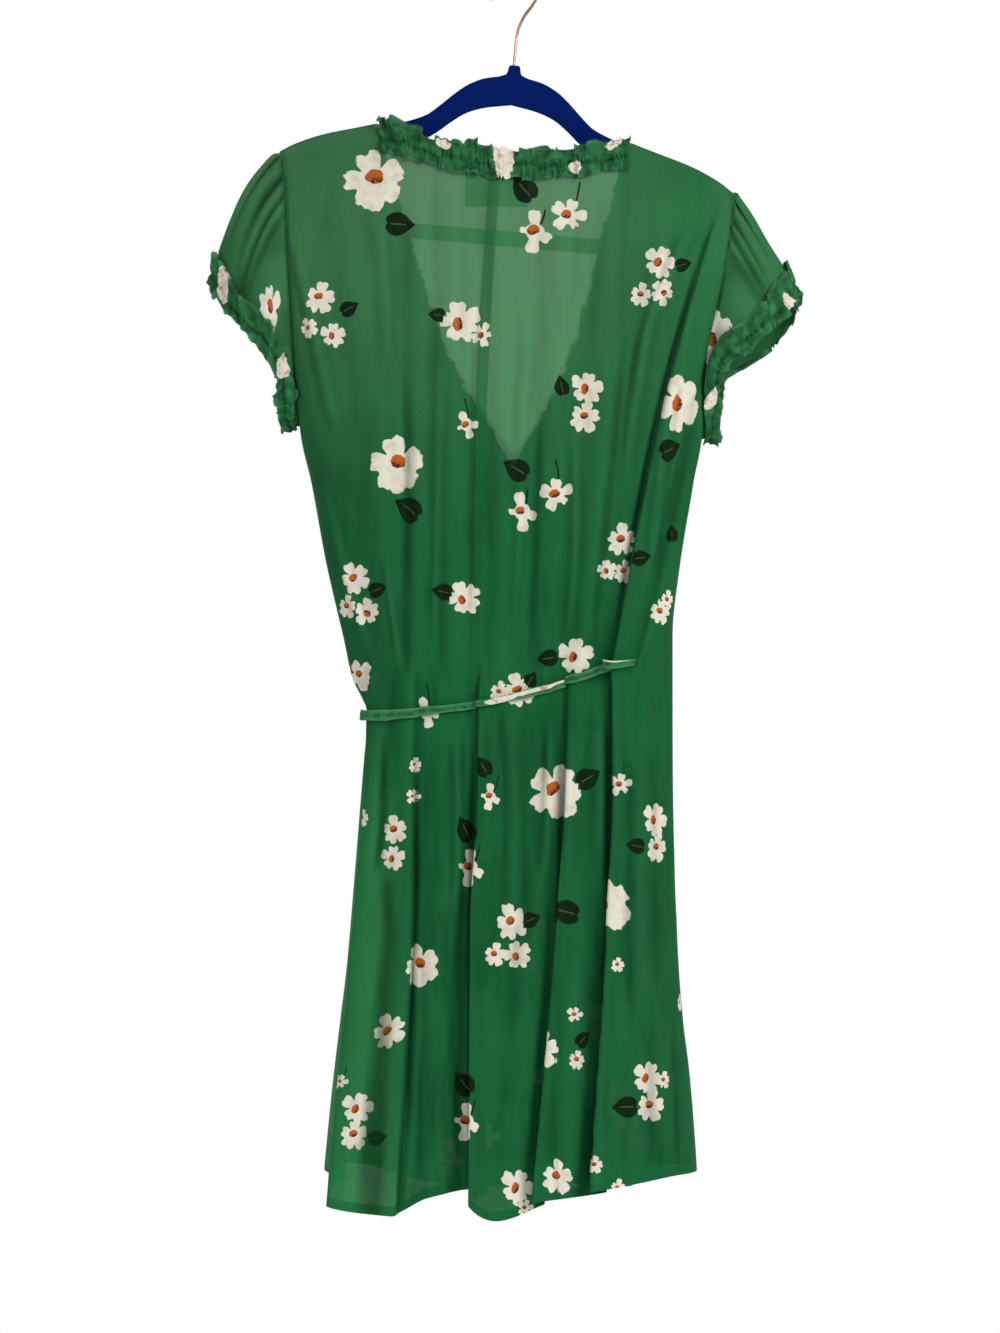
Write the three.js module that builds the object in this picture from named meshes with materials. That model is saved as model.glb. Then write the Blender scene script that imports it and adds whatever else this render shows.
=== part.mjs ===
// A short wrap dress with gathered cap sleeves and frayed ruffle trims, hung by its shoulders on a
// flocked hanger with a wire hook. Millimetres, +Z up. The origin is where the hook bears on a rod.
// The dress's back faces -Y and its wrapped front faces +Y, so the wearer's left is at -X.

import * as THREE from "three";

// Cloth
const CLOTH = 1.2; // wall of every panel
const RUFFLE_CLOTH = 1.0; // wall of ruffles, ties and label
const SEAM_GAP = 0.3; // between pieces that are sewn together
const WRAP_SPACE = 3.6; // between the mid surfaces of the two crossing fronts
const WRAP_PARTS = -200; // above this height the fronts lie apart, in one surface
const WRAP_RISE = { share: 0.35, height: 150 }; // over which they part, in from the seam and down
const COVER_MARGIN = 16; // from the right front's edge to where the left one has its folds again
const COVER_FADE = 14; // over which they die out there

// Hanger, in its own frame: x outward from the hook's stem, z down from the top of its arch
const HANGER_TILT = THREE.MathUtils.degToRad(5); // the right arm hangs lower
const ARCH_TOP = -92.9; // height of the arch below the rod
const HANGER_THICK = 5.5;
const HANGER_BEVEL = 1.0;
const BAR_TOP = 135; // trouser bar, below the arch's top
const BAR_BOTTOM = 148;
const ARM_END = [
  { out: 198, drop: 92 },
  { out: 199, drop: 99 },
  { out: 192, drop: 106 },
  { out: 162, drop: BAR_BOTTOM - 8 },
  { out: 150, drop: BAR_BOTTOM },
];
const HOLE_CORNER = [
  { out: 172, drop: 101 },
  { out: 148, drop: BAR_TOP - 5 },
  { out: 140, drop: BAR_TOP },
];
const NUB = { halfTop: 5, halfFoot: 7, height: 8.5, foot: 0.4 };
const HANGER_ARM = [
  { out: 0, drop: 0, thick: 26 },
  { out: 24, drop: 4.6, thick: 26 },
  { out: 38, drop: 11, thick: 25 },
  { out: 50, drop: 20.5, thick: 24 },
  { out: 61, drop: 31, thick: 23 },
  { out: 73, drop: 41, thick: 21 },
  { out: 100, drop: 51.5, thick: 19 },
  { out: 128, drop: 60, thick: 17 },
  { out: 160, drop: 69.5, thick: 16 },
  { out: 184, drop: 80, thick: 15 },
  { out: 198, drop: 89, thick: 14 },
];

// Hook
const WIRE = 3.0; // diameter
const HOOK_RADIUS = 20.6; // of the wire's centreline
const HOOK_FROM = -36; // degrees round the arc, from +X
const HOOK_TO = 205;
const HOOK_STEM = [
  { x: -0.3, z: -83.9 },
  { x: 1.2, z: -69 },
  { x: 2.6, z: -57 },
  { x: 7.4, z: -44.5 },
];

// Body of the dress. left and right are its side seams, and above the underarms its armhole seams.
const BODY_SECTIONS = [
  { z: -150, left: -204, right: 191, back: 12, front: 12 },
  { z: -190, left: -198, right: 190, back: 24, front: 24 },
  { z: -265, left: -194, right: 180, back: 32, front: 34 },
  { z: -350, left: -189, right: 164, back: 36, front: 42 },
  { z: -405, left: -184, right: 161, back: 37, front: 46 },
  { z: -445, left: -175, right: 154, back: 36, front: 47 },
  { z: -515, left: -162, right: 142, back: 32, front: 43 },
  { z: -580, left: -147, right: 137, back: 28, front: 36 },
  { z: -612, left: -140, right: 137, back: 27, front: 34 },
  { z: -648, left: -126, right: 137, back: 27, front: 33 },
  { z: -680, left: -129, right: 137, back: 29, front: 36 },
  { z: -790, left: -138, right: 139, back: 37, front: 46 },
  { z: -860, left: -144, right: 142, back: 43, front: 52 },
  { z: -910, left: -150, right: 146, back: 47, front: 56 },
  { z: -960, left: -156, right: 152, back: 51, front: 60 },
  { z: -1040, left: -164, right: 158, back: 57, front: 66 },
  { z: -1090, left: -168, right: 160, back: 60, front: 68 },
];
const SHOULDER_REST = 3.9; // from the hanger's arm up to the middle of the cloth that lies on it
const SHOULDER_TURN = 2.4; // below the seam, where the cloth is clear of the arm's side
const ARM_CLEAR = HANGER_THICK / 2 + CLOTH / 2 + 0.9;
const OVER_ARM = 14; // depth to which the arm holds the cloth out; it falls in over as much again
const SHOULDER_ROUND = 70; // depth below the shoulder seam where the cloth has its full depth
const NECK = { left: -119, right: 101, sag: 18, stand: 14, blend: 30 };
const ARMHOLES = {
  left: { tip: -160, under: -396, halfDepth: 24 },
  right: { tip: -194, under: -408, halfDepth: 24 },
};
const ARMHOLE_GAP = 0.9; // between the armhole's edge and the sleeve
const WAIST = { side: -603, dip: 10, halfWidth: 140 };
const HEM = [
  { x: -170, back: -1037, front: -1037 },
  { x: -158, back: -1040, front: -1037 },
  { x: -146, back: -1060, front: -1038 },
  { x: -108, back: -1073, front: -1048 },
  { x: -72, back: -1057, front: -1056 },
  { x: -30, back: -1050, front: -1061 },
  { x: 5, back: -1076, front: -1058 },
  { x: 32, back: -1062, front: -1052 },
  { x: 70, back: -1055, front: -1061 },
  { x: 104, back: -1048, front: -1060 },
  { x: 140, back: -1040, front: -1040 },
  { x: 162, back: -1039, front: -1040 },
];

// Folds run down the cloth. x is the ridge's line, depth how far it stands out, rise and run the
// widths to its left and right, and lean how far the ridge hangs over to the left, as a share of depth.
const BODICE_BACK_FOLDS = [
  { name: "left_soft", xTop: -150, xMid: -118, xLow: -106, top: 1.5, low: 4, rise: 22, run: 16, lean: 0 },
  { name: "left_dart", xTop: -84, xMid: -84, xLow: -86, top: 1.5, low: 5, rise: 11, run: 18, lean: -0.2 },
  { name: "left_centre", xTop: -56, xMid: -54, xLow: -52, top: 2.5, low: 3.5, rise: 14, run: 14, lean: 0 },
  { name: "centre", xTop: -16, xMid: -10, xLow: -12, top: 2.5, low: 4, rise: 14, run: 18, lean: 0 },
  { name: "right_centre", xTop: 38, xMid: 34, xLow: 28, top: 3, low: 4, rise: 18, run: 20, lean: 0 },
  { name: "right_dart", xTop: 84, xMid: 74, xLow: 56, top: 2.5, low: 4, rise: 16, run: 14, lean: 0 },
  { name: "pulled", xTop: 184, xMid: 131, xLow: 92, top: 5, low: 10, rise: 10, run: 30, lean: 0.9 },
  { name: "pulled_side", xTop: 205, xMid: 160, xLow: 112, top: 2, low: 7, rise: 9, run: 20, lean: 0.8 },
];
const SKIRT_BACK_FOLDS = [
  { name: "left_edge", xTop: -117, xMid: -121, xLow: -137, top: 5, low: 14, rise: 10, run: 28, lean: 0.75 },
  { name: "left_seam", xTop: -92, xMid: -94, xLow: -108, top: 4, low: 7, rise: 12, run: 10, lean: -0.4 },
  { name: "left_centre", xTop: -60, xMid: -64, xLow: -68, top: 2.5, low: 6, rise: 24, run: 24, lean: 0 },
  { name: "centre", xTop: -22, xMid: -20, xLow: -12, top: 6, low: 17, rise: 11, run: 52, lean: 0.9 },
  { name: "right_centre", xTop: 54, xMid: 52, xLow: 38, top: 5, low: 15, rise: 10, run: 40, lean: 0.9 },
  { name: "pulled", xTop: 94, xMid: 97, xLow: 88, top: 9, low: 17, rise: 10, run: 52, lean: 0.9 },
];
const BODICE_FRONT_FOLDS = [
  { name: "left_bust", xTop: -120, xMid: -104, xLow: -84, top: 1, low: 5, rise: 18, run: 18, lean: 0 },
  { name: "left_gather", xTop: -86, xMid: -70, xLow: -48, top: 0, low: 5, rise: 14, run: 14, lean: 0 },
  { name: "middle", xTop: 0, xMid: -6, xLow: -8, top: 0, low: 4, rise: 18, run: 18, lean: 0 },
  { name: "right_gather", xTop: 84, xMid: 62, xLow: 34, top: 0, low: 5, rise: 14, run: 14, lean: 0 },
  { name: "right_bust", xTop: 118, xMid: 102, xLow: 78, top: 1, low: 5, rise: 18, run: 18, lean: 0 },
];
const SKIRT_FRONT_FOLDS = [
  { name: "left", xTop: -96, xMid: -106, xLow: -122, top: 4, low: 13, rise: 26, run: 18, lean: -0.3 },
  { name: "left_inner", xTop: -46, xMid: -52, xLow: -62, top: 3, low: 12, rise: 24, run: 22, lean: 0 },
  { name: "middle", xTop: 4, xMid: 4, xLow: 2, top: 3, low: 13, rise: 26, run: 24, lean: 0 },
  { name: "right_inner", xTop: 48, xMid: 54, xLow: 62, top: 3, low: 12, rise: 22, run: 24, lean: 0 },
  { name: "right", xTop: 92, xMid: 102, xLow: 118, top: 4, low: 13, rise: 18, run: 26, lean: 0.3 },
];
const BODICE_FOLD_SPAN = { top: -200, mid: -404, low: -616 };
const SKIRT_FOLD_SPAN = { top: -616, mid: -800, low: -1065 };
const WAIST_BLEND = 16; // bodice folds turn into skirt folds this far either side of the waist
const SIDE_FADE = 0.12; // folds die out over this share of the half ring, beside the side seams
const TOP_FADE = 60; // and over this height below the shoulder and neck

// Seams across the back, and the edges of the crossing fronts
const BACK_SEAMS = [
  { z: -160, centre: -16, left: -90, right: 46 },
  { z: -400, centre: -29, left: -90, right: 52 },
  { z: -616, centre: -33, left: -82, right: 50 },
  { z: -860, centre: -31, left: -88, right: 52 },
  { z: -1080, centre: -26, left: -98, right: 54 },
];
const WRAP_EDGES = [
  { z: -140, right: 105, left: -121 },
  { z: -218, right: 83, left: -97 },
  { z: -280, right: 68, left: -79 },
  { z: -348, right: 46, left: -52 },
  { z: -431, right: 1, left: 1 },
  { z: -512, right: -58, left: 55 },
  { z: -590, right: -112, left: 108 },
  { z: -650, right: -112, left: 112 },
  { z: -860, right: -100, left: 104 },
  { z: -1080, right: -88, left: 96 },
];

// Sleeves. The cuff runs from its outer tip, where down is 0, to the underarm, where down is 1.
const SLEEVES = {
  left: { out: -1, halfDepth: 30, puff: { x: -17, z: 12 }, belly: { x: -4, y: 9 } },
  right: { out: 1, halfDepth: 30, puff: { x: -4, z: 8 }, belly: { x: 3, y: 9 } },
};
const SLEEVE_BEND = 0.35; // share of the way down at which a sleeve puffs out most
const PUFF_NARROWING = 1.5; // the puff's power of the cosine of the turn from the tip
const SLEEVE_ROWS = [0, 0.16, 0.42, 0.72, 1]; // shares of the way down, closer where the gathers are
const ARM_COLUMNS = 10; // round the sleeve, outside its gathers
const CUFF_LINES = {
  left: [
    { down: 0, backX: -262, backZ: -272, frontX: -262, frontZ: -272 },
    { down: 0.25, backX: -241, backZ: -303, frontX: -238, frontZ: -300 },
    { down: 0.5, backX: -214, backZ: -332, frontX: -210, frontZ: -328 },
    { down: 0.75, backX: -200, backZ: -366, frontX: -198, frontZ: -362 },
    { down: 1, backX: -196, backZ: -398, frontX: -196, frontZ: -398 },
  ],
  right: [
    { down: 0, backX: 246, backZ: -282, frontX: 246, frontZ: -282 },
    { down: 0.25, backX: 230, backZ: -303, frontX: 237, frontZ: -309 },
    { down: 0.5, backX: 201, backZ: -329, frontX: 208, frontZ: -336 },
    { down: 0.63, backX: 179, backZ: -346, frontX: 182, frontZ: -352 },
    { down: 0.8, backX: 173, backZ: -374, frontX: 174, frontZ: -378 },
    { down: 1, backX: 173, backZ: -408, frontX: 173, frontZ: -408 },
  ],
};
// reach is in degrees from the tip, fade and start are shares of the way down.
const SLEEVE_GATHERS = { count: 10, reach: 66, depth: 1.9, fade: 0.75, start: 0.08, sharpness: 2.5 };

// Ruffles: strips gathered along their middle, with both edges free
const CUFF_RUFFLE = { waves: 18, up: 12, down: 11, depth: 2.1, inset: 6, clear: 0.7 };
const CUFF_SHARE = { inset: 0.35, up: 0.55 }; // most of a short sleeve that its ruffle takes
const NECK_RUFFLE = { waves: 20, up: 13, down: 15, depth: 2.4, inset: 9, clear: 1.5, ends: 3 };
const WRAP_RUFFLE = { waves: 14, up: 10, down: 12, depth: 2.2, inset: 7 };
const WRAP_RUFFLE_CLEAR = { left: 0.9, right: 2.4 };
const LEFT_RUFFLE_END = -404; // where the right front begins to cover the left one
const RIGHT_RUFFLE_END = -588;
const RUFFLE_START = 7; // below the shoulder seam
const STITCH_SWING = 0.25; // share of a ruffle's waves that is left at its stitch line
const EDGE_SHIFT = 0.5; // columns by which the waves of its two edges run ahead and behind

// Tie
const TIE = { width: 9.5, clear: 2.4, frontClear: 0.5, backColumns: 30, sideColumns: 8, atKnot: 0.7 };
const SHORT_TIE = { x: -104, z: -612, width: 0.9, gap: 0.6, columns: 5 };
const TAIL = { length: 210, gap: 0.4, clear: 1.0, start: 6, sway: 14, width: 0.85, shorter: 0.86, rows: 14 };
const TIE_RUN = [
  { along: 0, x: 107, z: -600, width: 1.0, lift: 2.5 },
  { along: 0.12, x: 86, z: -604, width: 0.85, lift: 4.8 },
  { along: 0.26, x: 60, z: -613, width: 0.8, lift: 0.5 },
  { along: 0.4, x: 24, z: -624, width: 0.7, lift: 0 },
  { along: 0.55, x: -17, z: -635, width: 0.55, lift: 0 },
  { along: 0.75, x: -64, z: -641, width: 0.7, lift: 0 },
  { along: 1, x: -106, z: -646, width: 1.0, lift: 0.4 },
];
const KNOT = { x: -100, z: -646, wide: 8.5, deep: 4.2, high: 6.5, gap: 0.5, clear: 0.5 };
const KNOT_FACETS = { around: 14, over: 10 };

// Blank label inside the back neck
const LABEL = { left: -42, right: 12, top: -173, bottom: -208, gap: 1.3, rows: 3, columns: 5 };

const GREEN = new THREE.MeshStandardMaterial({ color: 0x2e7a4c, roughness: 0.82 });
const BLUE = new THREE.MeshStandardMaterial({ color: 0x0c2a72, roughness: 0.95 });
const COPPER = new THREE.MeshStandardMaterial({ color: 0xb48a7c, roughness: 0.3, metalness: 0.9 });
const DEEP_GREEN = new THREE.MeshStandardMaterial({ color: 0x1f5a38, roughness: 0.8 });

const clamp = (value, low, high) => Math.min(high, Math.max(low, value));
const mix = (from, to, share) => from + (to - from) * share;
const ease = (share) => {
  const t = clamp(share, 0, 1);
  return t * t * (3 - 2 * t);
};

// A table's column at a key, on a curve through its rows that never swings past them.
function along(rows, key, at, column) {
  const list = rows[0][key] < rows[rows.length - 1][key] ? rows : [...rows].reverse();
  const last = list.length - 1;
  if (at <= list[0][key]) return list[0][column];
  if (at >= list[last][key]) return list[last][column];
  const i = list.findIndex((row, n) => n < last && at < list[n + 1][key]);
  const secant = (n) => (list[n + 1][column] - list[n][column]) / (list[n + 1][key] - list[n][key]);
  const slope = (n) => {
    if (n === 0) return secant(0);
    if (n === last) return secant(last - 1);
    const [before, after] = [secant(n - 1), secant(n)];
    return before * after <= 0 ? 0 : (2 * before * after) / (before + after);
  };
  const span = list[i + 1][key] - list[i][key];
  const t = (at - list[i][key]) / span;
  const rise = list[i + 1][column] - list[i][column];
  const [start, end] = [slope(i) * span, slope(i + 1) * span];
  const [square, cube] = [3 * rise - 2 * start - end, start + end - 2 * rise];
  return list[i][column] + start * t + square * t * t + cube * t ** 3;
}

// A point of the tilted hanger's own frame, in the part's frame.
function hung(x, z) {
  const [cos, sin] = [Math.cos(HANGER_TILT), Math.sin(HANGER_TILT)];
  return { x: x * cos + z * sin, z: ARCH_TOP + z * cos - x * sin };
}

// Height of the hanger's arm under a point of the shoulder.
function armTop(x) {
  let out = x;
  for (let n = 0; n < 4; n += 1) {
    const drop = along(HANGER_ARM, "out", Math.abs(out), "drop");
    out = (x + drop * Math.sin(HANGER_TILT)) / Math.cos(HANGER_TILT);
  }
  return hung(out, -along(HANGER_ARM, "out", Math.abs(out), "drop")).z;
}

// Top edge of the cloth: the shoulder seams over the hanger, and the back neckline between them.
function clothTop(x) {
  if (x <= NECK.left || x >= NECK.right) return armTop(x) + SHOULDER_REST;
  const [from, to] = [armTop(NECK.left), armTop(NECK.right)];
  const t = (x - NECK.left) / (NECK.right - NECK.left);
  return mix(from, to, t) + SHOULDER_REST - NECK.sag * 4 * t * (1 - t);
}

function neckStand(x) {
  const inside = Math.min(x - NECK.left, NECK.right - x);
  return NECK.stand * ease(inside / NECK.blend);
}

function armholeDepth(armhole, z) {
  const [middle, half] = [(armhole.tip + armhole.under) / 2, (armhole.tip - armhole.under) / 2];
  return armhole.halfDepth * Math.sqrt(Math.max(0, 1 - ((z - middle) / half) ** 2));
}

const waistHeight = (x) => WAIST.side - WAIST.dip * Math.max(0, 1 - (x / WAIST.halfWidth) ** 2);

function section(z) {
  const at = (column) => along(BODY_SECTIONS, "z", z, column);
  const [left, right] = [at("left"), at("right")];
  return { centre: (left + right) / 2, half: (right - left) / 2, back: at("back"), front: at("front") };
}

// Position across the body: share runs from -1 at the left seam to 1 at the right one.
const acrossAt = (ring, share) => ring.centre + ring.half * (1.5 * share - 0.5 * share ** 3);
const shareAt = (x, z) => {
  const ring = section(z);
  return 2 * Math.sin(Math.asin(clamp((x - ring.centre) / ring.half, -1, 1)) / 3);
};

// How far the folds of one table stand out at a point, and how far they lean to the left.
function foldSum(folds, span, x, z) {
  const low = clamp((span.top - z) / (span.top - span.low), 0, 1);
  const total = { height: 0, lean: 0 };
  for (const fold of folds) {
    const line = [
      { z: span.top, x: fold.xTop },
      { z: span.mid, x: fold.xMid },
      { z: span.low, x: fold.xLow },
    ];
    const off = x - along(line, "z", z, "x");
    const reach = Math.abs(off) / (off < 0 ? fold.rise : fold.run);
    if (reach >= 1) continue;
    const height = mix(fold.top, fold.low, low) * 0.5 * (1 + Math.cos(Math.PI * reach));
    total.height += height;
    total.lean += fold.lean * height;
  }
  return total;
}

function foldsAt(side, x, z) {
  const skirtShare = ease((waistHeight(x) + WAIST_BLEND - z) / (2 * WAIST_BLEND));
  const bodice = foldSum(side < 0 ? BODICE_BACK_FOLDS : BODICE_FRONT_FOLDS, BODICE_FOLD_SPAN, x, z);
  const skirt = foldSum(side < 0 ? SKIRT_BACK_FOLDS : SKIRT_FRONT_FOLDS, SKIRT_FOLD_SPAN, x, z);
  return {
    height: mix(bodice.height, skirt.height, skirtShare),
    lean: mix(bodice.lean, skirt.lean, skirtShare),
  };
}

// The layers of the body. sign is the side that it faces, out which way it lies from the middle of
// the wrapped fronts, and seam the share of its side seam, where it comes back to the middle.
const BACK = { sign: -1, out: 0, seam: 0 };
const FRONT_LEFT = { sign: 1, out: -1, seam: -1 };
const FRONT_RIGHT = { sign: 1, out: 1, seam: 1 };

function layerLift(layer, share, z) {
  const inward = ease(Math.abs(share - layer.seam) / WRAP_RISE.share);
  return layer.out * (WRAP_SPACE / 2) * inward * ease((WRAP_PARTS - z) / WRAP_RISE.height);
}

// The left front lies plain where the right one covers it.
function foldShare(layer, x, z) {
  if (layer !== FRONT_LEFT) return 1;
  return 1 - ease((x - along(WRAP_EDGES, "z", z, "right") + COVER_MARGIN) / COVER_FADE);
}

// The middle of a layer's cloth before it is lifted.
function bodyPoint(layer, share, z) {
  const side = layer.sign;
  const ring = section(z);
  const depth = side < 0 ? ring.back : ring.front;
  const x = acrossAt(ring, share);
  const edge = armholeDepth(share < 0 ? ARMHOLES.left : ARMHOLES.right, z);
  const below = clothTop(x) - z;
  const round = Math.sqrt(1 - (1 - clamp(below / SHOULDER_ROUND, 0, 1)) ** 2);
  const stand = neckStand(x);
  const belowArm = armTop(x) + SHOULDER_REST - z;
  const held = 1 - ease((below - OVER_ARM) / OVER_ARM);
  const overArm = ARM_CLEAR * clamp(belowArm / SHOULDER_TURN, 0, 1) * held;
  const y = Math.max(stand + (edge + (depth - edge) * (1 - share ** 4) - stand) * round, overArm);
  const [runX, runY] = [ring.half * 1.5 * (1 - share ** 2) + 0.01, -4 * share ** 3 * (depth - edge) * round];
  const run = Math.hypot(runX, runY);
  const fade = ease((1 - Math.abs(share)) / SIDE_FADE) * ease(below / TOP_FADE) * foldShare(layer, x, z);
  const { height, lean } = foldsAt(side, x, z);
  const [out, left] = [(height * fade) / run, (lean * fade) / run];
  return new THREE.Vector3(x - runY * out - runX * left, side * (y + runX * out - runY * left), z);
}

// Outward normal of a layer. Side and shoulder seams lie in the plane between back and front.
function bodyNormal(layer, share, z) {
  const point = bodyPoint(layer, share, z);
  const [dShare, dZ] = [0.004, 0.6];
  const inShare = share > 0 ? share - dShare : share + dShare;
  const across = bodyPoint(layer, inShare, z).sub(point).multiplyScalar(share > 0 ? -1 : 1);
  const up = bodyPoint(layer, share, z - dZ).sub(point).multiplyScalar(-1);
  const normal = across.cross(up).normalize().multiplyScalar(-layer.sign);
  return Math.abs(point.y) < 0.02 ? normal.setY(0).normalize() : normal;
}

// A point of a layer's cloth, lifted out from its middle.
const raisedPoint = (layer, share, z, lift = 0) =>
  bodyPoint(layer, share, z).addScaledVector(bodyNormal(layer, share, z), lift + layerLift(layer, share, z));

// A closed wall of even thickness about a grid of points, as rows of equal length. A ring's rows
// close on themselves. Its free edges are drawn in, so that the next piece of cloth has its seam gap.
function wall(rows, thickness, { ring = false, edge = SEAM_GAP / 2, normals = null } = {}) {
  const [nRows, nCols] = [rows.length, rows[0].length];
  const grid = rows.map((row) => row.map((point) => point.clone()));
  const draw = (point, inner) => point.addScaledVector(inner.clone().sub(point).normalize(), edge);
  for (let c = 0; c < nCols; c += 1) {
    draw(grid[0][c], rows[1][c]);
    draw(grid[nRows - 1][c], rows[nRows - 2][c]);
  }
  if (!ring)
    for (let r = 0; r < nRows; r += 1) {
      draw(grid[r][0], rows[r][1]);
      draw(grid[r][nCols - 1], rows[r][nCols - 2]);
    }
  const column = (c) => (ring ? (c + nCols) % nCols : clamp(c, 0, nCols - 1));
  const normal = (r, c) => {
    if (normals) return normals[r][c];
    const across = rows[r][column(c + 1)].clone().sub(rows[r][column(c - 1)]);
    const down = rows[clamp(r + 1, 0, nRows - 1)][c].clone().sub(rows[clamp(r - 1, 0, nRows - 1)][c]);
    return across.cross(down).normalize();
  };
  const positions = [];
  for (const face of [0.5, -0.5])
    for (let r = 0; r < nRows; r += 1)
      for (let c = 0; c < nCols; c += 1)
        positions.push(...grid[r][c].clone().addScaledVector(normal(r, c), face * thickness));
  const outer = (r, c) => r * nCols + column(c);
  const inner = (r, c) => nRows * nCols + outer(r, c);
  const faces = [];
  const quad = (a, b, c, d) => faces.push(a, b, c, a, c, d);
  const spans = ring ? nCols : nCols - 1;
  for (let c = 0; c < spans; c += 1) {
    for (let r = 0; r < nRows - 1; r += 1) {
      quad(outer(r, c), outer(r, c + 1), outer(r + 1, c + 1), outer(r + 1, c));
      quad(inner(r, c), inner(r + 1, c), inner(r + 1, c + 1), inner(r, c + 1));
    }
    quad(outer(0, c), inner(0, c), inner(0, c + 1), outer(0, c + 1));
    quad(outer(nRows - 1, c), outer(nRows - 1, c + 1), inner(nRows - 1, c + 1), inner(nRows - 1, c));
  }
  if (!ring)
    for (let r = 0; r < nRows - 1; r += 1) {
      quad(outer(r, 0), outer(r + 1, 0), inner(r + 1, 0), inner(r, 0));
      quad(outer(r, nCols - 1), inner(r, nCols - 1), inner(r + 1, nCols - 1), outer(r + 1, nCols - 1));
    }
  return facingOut(positions, faces);
}

// The geometry of a closed surface, turned so that its faces point outwards.
function facingOut(positions, faces) {
  let volume = 0;
  const corner = (n) => new THREE.Vector3().fromArray(positions, 3 * n);
  for (let f = 0; f < faces.length; f += 3)
    volume += corner(faces[f]).dot(corner(faces[f + 1]).cross(corner(faces[f + 2])));
  if (volume < 0) faces.reverse();
  const geometry = new THREE.BufferGeometry();
  geometry.setAttribute("position", new THREE.Float32BufferAttribute(positions, 3));
  geometry.setIndex(faces);
  return geometry;
}

const steps = (count) => Array.from({ length: count + 1 }, (_, n) => n / count);

// A panel of the body between two side lines, given as share at a height, and two level lines, given
// as height at an x. climbs lists its rows from 0 at the bottom line to 1 at the top one, and turn is
// how far below the top line the cloth turns down.
function panel({ layer, from, to, low, high, across, climbs, turn = 0 }) {
  const heightAt = (share, line) => {
    let z = line(0);
    for (let n = 0; n < 6; n += 1) z = line(acrossAt(section(z), clamp(share(z), -1, 1)));
    return z;
  };
  const places = climbs.map((climb) =>
    steps(across).map((u) => {
      const shareOf = (z) => mix(from(z), to(z), u);
      const [bottom, top] = [heightAt(shareOf, low), heightAt(shareOf, high)];
      const z = climb === 1 ? top : mix(bottom, top - turn, climb);
      return { share: clamp(shareOf(z), -1, 1), z };
    }),
  );
  const rows = places.map((row) => row.map(({ share, z }) => raisedPoint(layer, share, z)));
  const normals = places.map((row) => row.map(({ share, z }) => bodyNormal(layer, share, z)));
  return wall(rows, CLOTH, { normals });
}

const seamLine = (name) => (z) => shareAt(along(BACK_SEAMS, "z", z, name), z);
const wrapLine = (name) => (z) => shareAt(along(WRAP_EDGES, "z", z, name), z);
const leftSide = () => -1;
const rightSide = () => 1;
const hemLine = (side) => (x) => along(HEM, "x", x, side < 0 ? "back" : "front");

const BODICE_ROWS = 10;
const ROW_CROWDING = 1.6; // a bodice's rows lie closer together towards the shoulder
const LAST_ROW = 0.9999; // share of the climb at which the cloth turns down
const SKIRT_ROWS = 9;

function bodicePanel(cut) {
  const climbs = [...steps(BODICE_ROWS).map((t) => LAST_ROW * (1 - (1 - t) ** ROW_CROWDING)), 1];
  return panel({ ...cut, low: waistHeight, high: clothTop, climbs, turn: SHOULDER_TURN });
}

const skirtPanel = (cut) =>
  panel({ ...cut, low: hemLine(cut.layer.sign), high: waistHeight, climbs: steps(SKIRT_ROWS) });

// Sleeves. turn runs from 0 at the shoulder tip, down the back to the underarm and up the front.
function armholePoint(side, turn) {
  const armhole = ARMHOLES[side];
  const [middle, half] = [(armhole.tip + armhole.under) / 2, (armhole.tip - armhole.under) / 2];
  const z = middle + half * Math.cos(turn);
  const out = SLEEVES[side].out;
  const point = bodyPoint(Math.sin(turn) < 0 ? FRONT_RIGHT : BACK, out, z);
  point.x += out * (CLOTH / 2 + ARMHOLE_GAP);
  return point;
}

function cuffPoint(side, turn) {
  const sin = Math.sin(turn);
  const down = Math.acos(clamp(Math.cos(turn), -1, 1)) / Math.PI;
  const at = (column) => along(CUFF_LINES[side], "down", down, sin > 0 ? `back${column}` : `front${column}`);
  return new THREE.Vector3(at("X"), -SLEEVES[side].halfDepth * sin, at("Z"));
}

function sleeveBase(side, turn, down) {
  const { puff, belly } = SLEEVES[side];
  const [top, middle] = [Math.max(0, Math.cos(turn)) ** PUFF_NARROWING, Math.abs(Math.sin(turn))];
  const bend = armholePoint(side, turn).lerp(cuffPoint(side, turn), SLEEVE_BEND);
  bend.x += puff.x * top + belly.x * middle;
  bend.y -= belly.y * Math.sin(turn);
  bend.z += puff.z * top;
  const curve = new THREE.QuadraticBezierCurve3(armholePoint(side, turn), bend, cuffPoint(side, turn));
  return curve.getPoint(clamp(down, 0, 1));
}

// Outward normal of the sleeve, and the direction down it.
function sleeveFrame(side, turn, down) {
  const [dTurn, dDown] = [0.02, 0.04];
  const t = clamp(down, 0, 1 - dDown);
  const round = sleeveBase(side, turn + dTurn, t).sub(sleeveBase(side, turn - dTurn, t));
  const along = sleeveBase(side, turn, t + dDown).sub(sleeveBase(side, turn, t)).normalize();
  return { normal: round.cross(along).normalize().multiplyScalar(SLEEVES[side].out), along };
}

function sleevePoint(side, turn, down) {
  const { count, reach, depth, fade: end, start, sharpness } = SLEEVE_GATHERS;
  const away = Math.min(turn, 2 * Math.PI - turn) / THREE.MathUtils.degToRad(reach);
  const fade = ease((1 - away) * sharpness) * clamp(1 - down / end, 0, 1) * ease(down / start);
  const wave = -Math.cos(away * count * Math.PI);
  const point = sleeveBase(side, turn, down);
  if (fade <= 0) return point;
  return point.addScaledVector(sleeveFrame(side, turn, down).normal, depth * fade * wave);
}

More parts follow.
